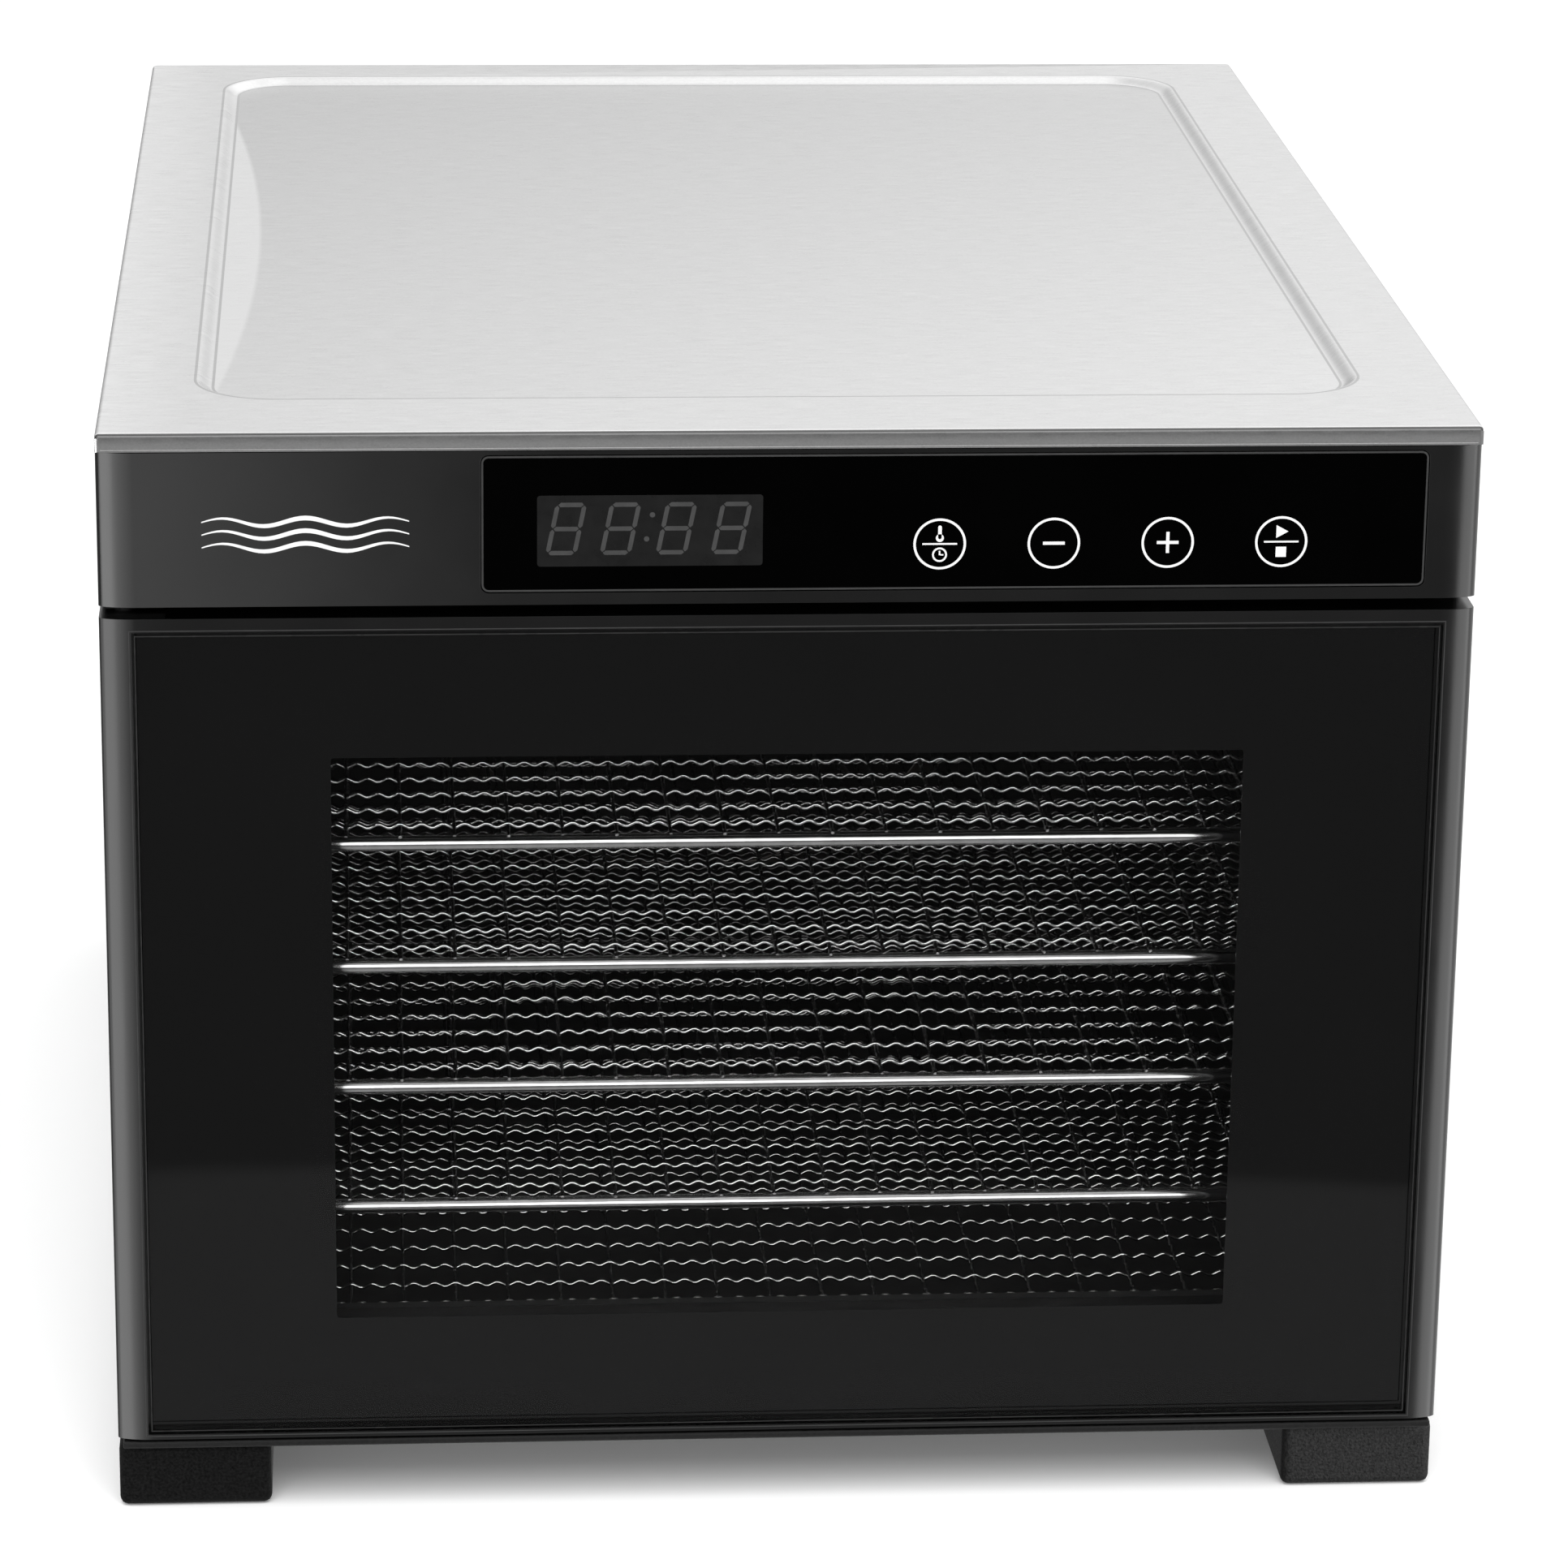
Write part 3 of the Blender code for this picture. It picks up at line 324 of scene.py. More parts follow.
def make_materials():
    """Every finish by name."""
    made = {}
    long_x = (2.5, 1.0, 2.5)
    long_lip = (1.6, 1.6, 1.0)
    # Painted highlight: the steel's tone rises from 0.87 of its level to full towards the housing's left
    # edge.
    made["steel"] = brushed("brushed_steel", 0.86, long_x, shade=((-0.148, 0.0), (-0.172, 0.0), 0.87))
    # Painted shade: a darker copy of the housing steel for the front lip and its hem.
    made["lip"] = brushed("lip_steel_painted_shade", 0.54, long_lip, depth=0.000006, contrast=0.25)
    # Painted light: a darker copy of the housing steel for the pressing's floor, shaded darker towards its
    # back left, with a painted highlight in the crescent.
    made["pressed"] = brushed(
        "pressed_steel_painted_light", 0.78, long_x, shade=((-0.15, 0.2), (0.16, -0.2), 0.74), painted_highlight=0.95
    )
    # Painted shade: darker steel on the thin crease bands at the pressing's edge and floor.
    made["crease"] = brushed("crease_painted_shade", 0.50, long_x)
    # Painted shade: near-black steel on the bend between the top and the front lip.
    made["bend"] = brushed("bend_painted_shade", 0.16, long_x)
    made["zinc"] = textured(
        "zinc_plate", grey(0.42), grey(0.62), (0.25, 0.42), 0.004, depth=0.00001, Metallic=1.0
    )
    # Painted shade: the wire darkens towards each tray's back.
    made["wire"] = shaded_wire("chromed_wire", 0.66, 0.82, (0.09, 0.17))
    # Painted shade: the wires along Y are a darker copy of the chromed wire.
    made["cross_wire"] = shaded_wire("cross_wire_painted_shade", 0.22, 0.34, (0.14, 0.24))
    made["fan_steel"] = brushed("rolled_steel", 0.55, (1.0, 1.0, 1.0))
    made["black_steel"] = textured(
        "black_steel", grey(0.016), grey(0.024), (0.36, 0.48), 0.006, grain=0.0004, depth=0.00003
    )
    # Painted shade: the chamber's walls are made near-black to stand for the shade inside the chamber.
    made["enamel"] = textured(
        "dark_enamel", grey(0.004), grey(0.008), (0.34, 0.5), 0.009, grain=0.0011, depth=0.00003,
        Specular_IOR_Level=0.2,
    )
    made["graphite"] = textured(
        "graphite_moulding", grey(0.0015), grey(0.002), (0.19, 0.23), 0.02, grain=0.0005, depth=0.000002
    )
    made["pan"] = textured(
        "pan_plastic", grey(0.003), grey(0.010), (0.45, 0.6), 0.0009, grain=0.0006, depth=0.00012
    )
    made["plastic"] = textured(
        "black_plastic", grey(0.014), grey(0.021), (0.42, 0.55), 0.004, grain=0.0005, depth=0.00002
    )
    made["rubber"] = textured(
        "foot_rubber", grey(0.001), grey(0.011), (0.6, 0.8), 0.0007, grain=0.0006, depth=0.00025,
        Specular_IOR_Level=0.15,
    )
    made["seal"] = textured(
        "seal_silicone", grey(0.02), grey(0.03), (0.55, 0.7), 0.003, grain=0.0008, depth=0.00004
    )
    made["lens"] = textured(
        "gloss_black", grey(0.0002), grey(0.0005), (0.05, 0.09), 0.03, Specular_IOR_Level=0.03
    )
    made["rim"] = textured("rim_plastic", grey(0.035), grey(0.045), (0.3, 0.4), 0.004)
    made["display"] = textured(
        "display_face", grey(0.009), grey(0.012), (0.25, 0.35), 0.004, Specular_IOR_Level=0.15
    )
    made["segment"] = textured("unlit_segment", grey(0.046), grey(0.056), (0.3, 0.4), 0.003)
    made["ink"] = textured("white_ink", grey(0.82), grey(0.90), (0.4, 0.5), 0.002)
    # Painted highlight: a thin grey line standing for light caught by the glass's edge.
    made["glass_edge"] = textured("glass_edge", grey(0.018), grey(0.028), (0.2, 0.35), 0.01)
    made["print"] = textured("door_print", grey(0.0008), grey(0.0012), (0.01, 0.02), 0.02)
    made["glass"] = textured(
        "door_glass", grey(0.0), grey(0.002), (0.006, 0.014), 0.05, Alpha=0.12, Specular_IOR_Level=0.5
    )
    made["board"] = textured("circuit_board", (0.008, 0.07, 0.02), (0.02, 0.14, 0.05), (0.3, 0.45), 0.0016)
    made["foam"] = textured(
        "dark_foam", grey(0.02), grey(0.04), (0.85, 0.95), 0.0008, grain=0.0006, depth=0.0001
    )
    made["heater"] = textured(
        "heater_tube", (0.10, 0.08, 0.07), (0.24, 0.21, 0.19), (0.4, 0.6), 0.012, Metallic=0.8
    )
    made["ceramic"] = textured("white_ceramic", (0.70, 0.67, 0.60), (0.84, 0.82, 0.77), (0.3, 0.5), 0.003)
    made["magnet"] = textured(
        "magnet", grey(0.05), grey(0.09), (0.4, 0.6), 0.001, grain=0.0004, depth=0.00003
    )
    made["cable"] = textured("ribbon_cable", grey(0.26), grey(0.38), (0.45, 0.6), 0.0013, (0.6, 30.0, 30.0))
    made["floor"] = textured(
        "pale_floor", grey(0.88), grey(0.90), (0.8, 0.9), 0.6,
        Specular_IOR_Level=0.0, Emission_Color=(1.0, 1.0, 1.0, 1.0), Emission_Strength=FLOOR_GLOW,
    )
    return made


# ---------------------------------------------------------------- shapes

def on_axis(axis, along, a, b):
    """The point at `along` on one axis and (a, b) on the other two, in X, Y, Z order."""
    if axis == "X":
        return Vector((along, a, b))
    if axis == "Y":
        return Vector((a, along, b))
    return Vector((a, b, along))


def rectangle(x_low, x_high, y_low, y_high):
    """Corner points of a rectangle, anticlockwise."""
    return [(x_low, y_low), (x_high, y_low), (x_high, y_high), (x_low, y_high)]


def inset(low, high, margin=0.0):
    """The sides of a box as seen from the front, moved in by a margin."""
    return low.x + margin, high.x - margin, low.z + margin, high.z - margin


def rounded_rectangle(x_low, x_high, y_low, y_high, radius, steps=8):
    """Outline of a rectangle with round corners, anticlockwise."""
    corners = (
        (x_high - radius, y_high - radius, 0.0),
        (x_low + radius, y_high - radius, 0.5),
        (x_low + radius, y_low + radius, 1.0),
        (x_high - radius, y_low + radius, 1.5),
    )
    points = []
    for centre_x, centre_y, start in corners:
        for step in range(steps + 1):
            angle = pi * (start + 0.5 * step / steps)
            points.append((centre_x + radius * cos(angle), centre_y + radius * sin(angle)))
    return points


def circle(centre_x, centre_y, radius, sides=32):
    """Points of a circle."""
    angles = [2 * pi * side / sides for side in range(sides)]
    return [(centre_x + radius * cos(angle), centre_y + radius * sin(angle)) for angle in angles]


def link(name, mesh, material=None):
    """An object in the scene from a mesh, with a material if one is given."""
    if material is not None:
        mesh.materials.append(material)
    obj = bpy.data.objects.new(name, mesh)
    bpy.context.scene.collection.objects.link(obj)
    return obj


def smooth(mesh, angle=35):
    """Smooth shading with sharp edges past an angle in degrees."""
    mesh.shade_smooth()
    mesh.set_sharp_from_angle(angle=radians(angle))


def from_bmesh(name, bm, material):
    """A smooth-shaded object with its faces pointing out."""
    bmesh.ops.recalc_face_normals(bm, faces=bm.faces)
    mesh = bpy.data.meshes.new(name)
    bm.to_mesh(mesh)
    bm.free()
    smooth(mesh)
    return link(name, mesh, material)


def place(obj, body, slot, *stands_for):
    """Make a piece ride on its body and stand for CAD nodes; the slot is not used."""
    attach(obj, body)
    if stands_for:
        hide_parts(*stands_for)
    return obj


def prism(name, axis, start, end, loops, material=None):
    """Extrude an outline, with any holes after it, along one axis."""
    bm = bmesh.new()
    edges = []
    for loop in loops:
        verts = [bm.verts.new(on_axis(axis, start, a, b)) for a, b in loop]
        for index in range(len(verts)):
            edges.append(bm.edges.new((verts[index - 1], verts[index])))
    bmesh.ops.triangle_fill(bm, use_beauty=True, edges=edges)
    extruded = bmesh.ops.extrude_face_region(bm, geom=list(bm.faces))
    moved = [item for item in extruded["geom"] if isinstance(item, bmesh.types.BMVert)]
    bmesh.ops.translate(bm, verts=moved, vec=on_axis(axis, end - start, 0.0, 0.0))
    return from_bmesh(name, bm, material)


def cut(obj, *cutters):
    """Cut other solids out of an object and remove them."""
    for cutter in cutters:
        modifier = obj.modifiers.new(cutter.name, "BOOLEAN")
        modifier.operation = "DIFFERENCE"
        modifier.object = cutter
        modifier.solver = "EXACT"
    graph = bpy.context.evaluated_depsgraph_get()
    mesh = bpy.data.meshes.new_from_object(obj.evaluated_get(graph))
    obj.modifiers.clear()
    obj.data = mesh
    smooth(mesh)
    for cutter in cutters:
        bpy.data.objects.remove(cutter, do_unlink=True)
    return obj


def soften(obj, width, segments=3):
    """Round an object's sharp edges, and weight its shading by face area."""
    bevel = obj.modifiers.new("edges", "BEVEL")
    bevel.width = width
    bevel.segments = segments
    bevel.limit_method = "ANGLE"
    bevel.angle_limit = radians(40)
    bevel.use_clamp_overlap = True
    weighted = obj.modifiers.new("shading", "WEIGHTED_NORMAL")
    weighted.keep_sharp = True
    return obj


def block(name, node, material):
    """A block that fills a CAD node's box."""
    low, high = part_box(node)
    return prism(name, "Z", low.z, high.z, [rectangle(low.x, high.x, low.y, high.y)], material)


def turned(name, profile, position, material, sides=32):
    """Turn a profile of (radius, height) points round an axis that points backwards."""
    bm = bmesh.new()
    rings = []
    for radius, height in profile:
        if radius == 0.0:
            rings.append([bm.verts.new((0.0, 0.0, height))])
            continue
        rings.append([bm.verts.new((a, b, height)) for a, b in circle(0.0, 0.0, radius, sides)])
    for lower, upper in zip(rings, rings[1:]):
        for side in range(sides):
            following = (side + 1) % sides
            corners = [lower[side % len(lower)], lower[following % len(lower)]]
            corners += [upper[following % len(upper)], upper[side % len(upper)]]
            bm.faces.new(list(dict.fromkeys(corners)))
    matrix = Matrix.Translation(position) @ Matrix.Rotation(radians(-90), 4, "X")
    bmesh.ops.transform(bm, matrix=matrix, verts=bm.verts)
    return from_bmesh(name, bm, material)


def bar(points, side, radius, sides, closed=False):
    """Vertices and faces of a round bar along planar points; `side` is square to their plane."""
    points = np.array(points)
    if closed:
        along = np.roll(points, -1, 0) - np.roll(points, 1, 0)
    else:
        along = np.gradient(points, axis=0)
    along /= np.linalg.norm(along, axis=1)[:, None]
    across = np.cross(along, side)
    angles = 2 * pi * np.arange(sides) / sides
    ring = np.cos(angles)[None, :, None] * np.array(side)
    ring = ring + np.sin(angles)[None, :, None] * across[:, None, :]
    verts = (points[:, None, :] + radius * ring).reshape(-1, 3)
    count = len(points)
    faces = []
    for index in range(count if closed else count - 1):
        start = index * sides
        after = (index + 1) % count * sides
        for corner in range(sides):
            turn = (corner + 1) % sides
            faces.append((start + corner, start + turn, after + turn, after + corner))
    if not closed:
        faces.append(tuple(range(sides))[::-1])
        faces.append(tuple(range((count - 1) * sides, count * sides)))
    return verts, faces


def joined(name, parts):
    """One mesh from several (vertices, faces) pairs, smooth round every bar."""
    verts = np.concatenate([part[0] for part in parts])
    faces = []
    start = 0
    for part_verts, part_faces in parts:
        faces += [tuple(corner + start for corner in face) for face in part_faces]
        start += len(part_verts)
    mesh = bpy.data.meshes.new(name)
    mesh.from_pydata(verts, [], faces)
    mesh.update()
    smooth(mesh, 80)
    return mesh


# ---------------------------------------------------------------- housing

def front_plan(back):
    """Plan outline of the front moulding, from its back to its front with eased vertical edges."""
    right = []
    for step in range(EDGE_STEPS + 1):
        angle = 0.5 * pi * step / EDGE_STEPS
        x = HALF_WIDTH - EDGE_REACH + EDGE_REACH * cos(angle)
        y = FRONT + EDGE_DROP - EDGE_DROP * sin(angle)
        right.append((x, y))
    left = [(-x, y) for x, y in reversed(right)]
    return [(-HALF_WIDTH, back), (HALF_WIDTH, back)] + right + left


def pressing_ring(bm, share, guard=0.0):
    """One ring of the top's pressing, from its edge (share 0) to its floor (share 1)."""
    inset = PRESSING_SLOPE * share + guard
    height = HEIGHT - PRESSING_DEPTH * 0.5 * (1 - cos(pi * share))
    outline = rounded_rectangle(
        PRESSING_SIDE + inset - HALF_WIDTH,
        HALF_WIDTH - PRESSING_SIDE - inset,
        FRONT + PRESSING_FRONT + inset,
        -FRONT - PRESSING_BACK - inset,
        PRESSING_RADIUS - inset,
        14,
    )
    return [bm.verts.new((x, y, height)) for x, y in outline]


def press_top(bm):
    """The top's pressing, with a crease round its edge and its floor; returns its outer ring."""
    rings = [pressing_ring(bm, 0.0, -CREASE_WIDTH)]
    rings += [pressing_ring(bm, ring / PRESSING_RINGS) for ring in range(PRESSING_RINGS + 1)]
    rings.append(pressing_ring(bm, 1.0, CREASE_WIDTH))
    for number, (outer, inner) in enumerate(zip(rings, rings[1:])):
        for index in range(len(outer)):
            face = bm.faces.new([outer[index - 1], outer[index], inner[index], inner[index - 1]])
            # The outer and inner crease bands take darker steel: painted shade.
            if number in (0, len(rings) - 2):
                face.material_index = SHELL_CREASE_SHADE
    bm.faces.new(rings[-1]).material_index = SHELL_FLOOR
    return rings[0]


def round_folds(bm):
    """Round the sheet's folds, then give the front lip and the bend above it their own slots, darker copies
    of the steel that paint shade on them.
    """
    folds = []
    for edge in bm.edges:
        if len(edge.link_faces) == 2 and edge.calc_face_angle() > radians(60):
            folds.append(edge)
    bmesh.ops.bevel(bm, geom=folds, offset=BEND_RADIUS, segments=6, affect="EDGES", profile=0.5)
    for face in bm.faces:
        if face.calc_center_median().y > FRONT + 2.0 * BEND_RADIUS:
            continue
        if face.normal.y < -0.87:
            face.material_index = SHELL_LIP_SHADE
        elif face.normal.y < -0.5:
            face.material_index = SHELL_BEND_SHADE


def folded_sheet():
    """The housing's middle surface: its sides, front lip and top, and the pressing in the top."""
    low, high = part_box("housing_wrap")
    bm = bmesh.new()
    sides = (("left", low.x), ("right", high.x))
    corners = {
        (side, end): bm.verts.new((x, y, high.z))
        for side, x in sides
        for end, y in (("front", low.y), ("back", high.y))
    }
    lip = {side: bm.verts.new((x, low.y, LIP_BOTTOM)) for side, x in sides}
    for side, x in sides:
        lower = [(high.y, low.z), (BODY_FRONT, low.z), (BODY_FRONT, LIP_BOTTOM)]
        wall = [corners[side, "front"], corners[side, "back"]]
        wall += [bm.verts.new((x, y, z)) for y, z in lower]
        wall.append(lip[side])
        bm.faces.new(wall)
    bm.faces.new([corners["left", "front"], corners["right", "front"], lip["right"], lip["left"]])
    pressing = press_top(bm)
    around = (("left", "front"), ("right", "front"), ("right", "back"), ("left", "back"))
    edges = []
    for loop in ([corners[corner] for corner in around], pressing):
        for index in range(len(loop)):
            pair = (loop[index - 1], loop[index])
            edges.append(bm.edges.get(pair) or bm.edges.new(pair))
    bmesh.ops.triangle_fill(bm, use_beauty=True, edges=edges)
    bmesh.ops.recalc_face_normals(bm, faces=bm.faces)
    round_folds(bm)
    return bm


def make_shell(materials):
    """The folded steel housing, as a sheet whose thickness goes inwards."""
    shell = from_bmesh("housing_shell", folded_sheet(), materials["steel"])
    # The lip, crease, pressing and bend finishes are copies of the steel with painted shade and highlight.
    for finish in ("lip", "crease", "pressed", "bend"):
        shell.data.materials.append(materials[finish])
    solidify = shell.modifiers.new("sheet", "SOLIDIFY")
    solidify.thickness = SHEET
    solidify.offset = -1.0
    solidify.use_even_offset = True
    shell.modifiers.new("shading", "WEIGHTED_NORMAL").keep_sharp = True
    place(shell, "housing", "steel", "housing_wrap")


def make_lip_bar(name, points, side, radius, sides, material):
    """A thin round bar along an edge of the front lip."""
    mesh = joined(name, [bar(points, side, radius, sides)])
    place(link(name, mesh, material), "housing", "steel")


def make_lip(materials):
    """The hem under the front lip, and the round ends at its left and right."""
    reach = HALF_WIDTH - 0.0014
    hem_y = FRONT + HEM_RADIUS - LIP_PROUD
    hem_z = LIP_BOTTOM + HEM_RADIUS - LIP_PROUD
    hem = [(x, hem_y, hem_z) for x in np.linspace(-reach, reach, 60)]
    make_lip_bar("lip_hem", hem, (0.0, 1.0, 0.0), HEM_RADIUS, 12, materials["lip"])
    end_y = FRONT + LIP_END_RADIUS - LIP_PROUD
    for side, x in (("left", LIP_END_RADIUS - HALF_WIDTH), ("right", HALF_WIDTH - LIP_END_RADIUS)):
        end = [(x, end_y, z) for z in np.linspace(LIP_BOTTOM, HEIGHT - 0.0012, 8)]
        make_lip_bar(f"lip_end_{side}", end, (1.0, 0.0, 0.0), LIP_END_RADIUS, 16, materials["steel"])


def make_fascia(materials):
    """The control fascia with a seat for its panel, and the panel with its rim."""
    low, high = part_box("control_fascia")
    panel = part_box("control_lens")
    seat = rounded_rectangle(*inset(*panel, -0.0003), 0.0021)
    fascia = prism("fascia_moulding", "Z", low.z, high.z, [front_plan(high.y)], materials["graphite"])
    cut(fascia, prism("seat_cutter", "Y", CUT_START, FRONT + 0.002, [seat]))
    place(soften(fascia, 0.0003), "housing", "graphite_moulding", "control_fascia")
    outer = rounded_rectangle(*inset(*panel), 0.0018)
    inner = rounded_rectangle(*inset(*panel, 0.0005), 0.0013)
    rim = prism("panel_rim", "Y", FRONT, FRONT + 0.0016, [outer, inner], materials["rim"])
    place(soften(rim, 0.00012, 2), "housing", "gloss_black")
    sheet = prism("control_panel", "Y", PANEL_FRONT, FRONT + 0.0017, [inner], materials["lens"])
    place(soften(sheet, 0.0001, 2), "housing", "gloss_black", "control_lens")


def make_printed(name, shapes, front, thickness, material, slot):
    """Flat shapes printed on the housing's front, each an outline with its holes, a little proud of it."""
    bm = bmesh.new()
    for loops in shapes:
        part = prism(name, "Y", front - thickness, front, loops)
        bm.from_mesh(part.data)
        bpy.data.objects.remove(part, do_unlink=True)
    place(from_bmesh(name, bm, material), "housing", slot)


def shifted(loop, x, z):
    """An outline in millimetres, moved to a place in metres."""
    return [(x + a * MILLIMETRE, z + b * MILLIMETRE) for a, b in loop]


def segment(start, end, thickness):
    """A display segment: a bar with pointed ends, in millimetres."""
    (x1, z1), (x2, z2) = start, end
    half = thickness / 2
    length = max(abs(x2 - x1), abs(z2 - z1))
    ux, uz = (x2 - x1) / length, (z2 - z1) / length
    px, pz = -uz * half, ux * half
    return [
        (x1, z1),
        (x1 + ux * half - px, z1 + uz * half - pz),
        (x2 - ux * half - px, z2 - uz * half - pz),
        (x2, z2),
        (x2 - ux * half + px, z2 - uz * half + pz),
        (x1 + ux * half + px, z1 + uz * half + pz),
    ]


def digit_strokes():
    """The seven strokes of a digit in millimetres round its middle, each from end to end."""
    half_wide = 3.29
    half_high = 6.09
    gap = 0.17
    strokes = []
    for z in (-half_high, 0.0, half_high):
        strokes.append(((-half_wide + gap, z), (half_wide - gap, z)))
    for x in (-half_wide, half_wide):
        for z in (-half_high, 0.0):
            strokes.append(((x, z + gap), (x, z + half_high - gap)))
    return strokes


def make_display(materials):
    """The display's face and its unlit, leaning digits, as thin layers on the panel's surface."""
    face = rounded_rectangle(*inset(*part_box("display_module")), 0.0008)
    layer = 0.00003
    make_printed("display_face", [[face]], PANEL_FRONT, layer, materials["display"], "display_grey")
    middle = 0.26135
    thickness = 1.12
    slant = 0.2
    shapes = []
    for centre in (-0.0557, -0.0424, -0.0287, -0.0152):
        for start, end in digit_strokes():
            loop = [(x + slant * z, z) for x, z in segment(start, end, thickness)]
            shapes.append([shifted(loop, centre, middle)])
    for x, z in ((-0.0346, 0.2648), (-0.0360, 0.2587)):
        shapes.append([circle(x, z, 0.00068, 16)])
    make_printed(
        "display_digits", shapes, PANEL_FRONT - layer, layer, materials["segment"], "display_grey"
    )


def key_shapes():
    """The symbol inside each key's ring, as outlines in millimetres."""
    stem = rounded_rectangle(-0.45, 0.45, 1.2, 4.7, 0.44, 4)
    bulb = circle(0.0, 1.5, 1.0, 20)
    divider = rectangle(-4.3, 4.3, -0.22, 0.22)
    clock = [circle(0.0, -2.75, 1.85, 24), circle(0.0, -2.75, 1.4, 24)[::-1]]
    hands = [[rectangle(-0.2, 0.2, -2.85, -1.75)], [rectangle(0.2, 0.95, -2.95, -2.6)]]
    minus = rectangle(-2.7, 2.7, -0.4, 0.4)
    arm = 2.7
    half = 0.4
    plus = [
        (-arm, -half), (-half, -half), (-half, -arm), (half, -arm), (half, -half), (arm, -half),
        (arm, half), (half, half), (half, arm), (-half, arm), (-half, half), (-arm, half),
    ]
    play = [(-1.3, 0.95), (1.7, 2.6), (-1.3, 4.25)]
    stop = rectangle(-1.3, 1.3, -3.9, -1.3)
    return [
        [[stem], [bulb], [divider], clock, *hands],
        [[minus]],
        [[plus]],
        [[play], [divider], [stop]],
    ]


def make_symbols(materials):
    """White printed symbols on the keys, each in its ring."""
    ring_radius = 6.5
    stroke = 0.6
    ring = [circle(0.0, 0.0, ring_radius, 64), circle(0.0, 0.0, ring_radius - stroke, 64)[::-1]]
    for key, shapes in enumerate(key_shapes()):
        x = KEY_FIRST + KEY_SPACING * key
        placed = [[shifted(loop, x, KEY_HEIGHT) for loop in loops] for loops in [ring, *shapes]]
        name = f"key_symbol_{key + 1}"
        make_printed(name, placed, PANEL_FRONT, PRINT_THICKNESS, materials["ink"], "gloss_black")


def make_airflow_mark(materials):
    """A generic mark on the fascia: three wavy lines, each thin at its ends."""
    start = -0.1445
    length = 0.0505
    first_row = 0.2572
    row_spacing = 0.0032
    swing = 0.0010
    half_thickness = 0.00058
    steps = 40
    waves = []
    for row in range(3):
        middle = first_row + row_spacing * row
        upper, lower = [], []
        for step in range(steps + 1):
            share = step / steps
            x = start + length * share
            z = middle + swing * sin(5 * pi * share)
            half = half_thickness * (0.25 + 0.75 * sin(pi * share))
            upper.append((x, z + half))
            lower.append((x, z - half))
        waves.append([lower + upper[::-1]])
    make_printed("airflow_mark", waves, FRONT, PRINT_THICKNESS, materials["ink"], "graphite_moulding")


def make_base(materials):
    """Base pan with a rounded front edge, and the four feet."""
    pan = block("pan_plate", "base_pan", materials["pan"])
    place(soften(pan, 0.0006), "housing", "textured_plastic", "base_pan")
    for corner in ("front_left", "front_right", "back_left", "back_right"):
        foot = block(f"foot_block_{corner}", f"foot_{corner}", materials["rubber"])
        place(soften(foot, 0.0022, 4), "housing", "rubber", f"foot_{corner}")


def make_rear_screws(materials):
    """Rear screws with cross recesses in their domed heads."""
    steps = 8
    for index in range(1, 5):
        name = f"rear_screw_{index}"
        low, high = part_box(name)
        centre = ((low.x + high.x) / 2, REAR_FACE, (low.z + high.z) / 2)
        head = (high.x - low.x) / 2
        tip = low.y - centre[1]
        dome = high.y - centre[1]
        profile = [(0.0, tip), (SCREW_SHANK, tip), (SCREW_SHANK, 0.0), (head, 0.0)]
        for step in range(steps + 1):
            angle = 0.5 * pi * step / steps
            profile.append((head * cos(angle), dome * (SCREW_RIM + (1.0 - SCREW_RIM) * sin(angle))))
        profile[-1] = (0.0, dome)
        screw = turned(f"cross_{name}", profile, centre, materials["zinc"])
        slots = []
        for wide, tall in ((RECESS_LONG, RECESS_NARROW), (RECESS_NARROW, RECESS_LONG)):
            outline = rectangle(centre[0] - wide, centre[0] + wide, centre[2] - tall, centre[2] + tall)
            slots.append(prism(f"slot_{name}", "Y", high.y - RECESS_DEPTH, high.y + 0.002, [outline]))
        cut(screw, *slots)
        place(screw, "housing", "zinc", name)


def make_cord_sleeve(materials):
    """The cord bushing, as a sleeve with a rounded flange."""
    low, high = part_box("cord_bushing")
    centre = ((low.x + high.x) / 2, REAR_FACE, (low.z + high.z) / 2)
    flange = (high.x - low.x) / 2
    thick = high.y - centre[1]
    inner_end = low.y - centre[1]
    profile = [
        (SLEEVE_BORE, inner_end),
        (SLEEVE_NECK, inner_end),
        (SLEEVE_NECK, 0.0),
        (flange, 0.0),
        (flange, 0.35 * thick),
        (flange - 0.0008, 0.85 * thick),
        (flange - 0.0018, thick),
        (SLEEVE_BORE + 0.0012, thick),
        (SLEEVE_BORE + 0.0003, 0.8 * thick),
        (SLEEVE_BORE, 0.4 * thick),
        (SLEEVE_BORE, inner_end),
    ]
    sleeve = turned("cord_sleeve", profile, centre, materials["plastic"], 48)
    place(sleeve, "housing", "black_plastic", "cord_bushing")


# ---------------------------------------------------------------- door

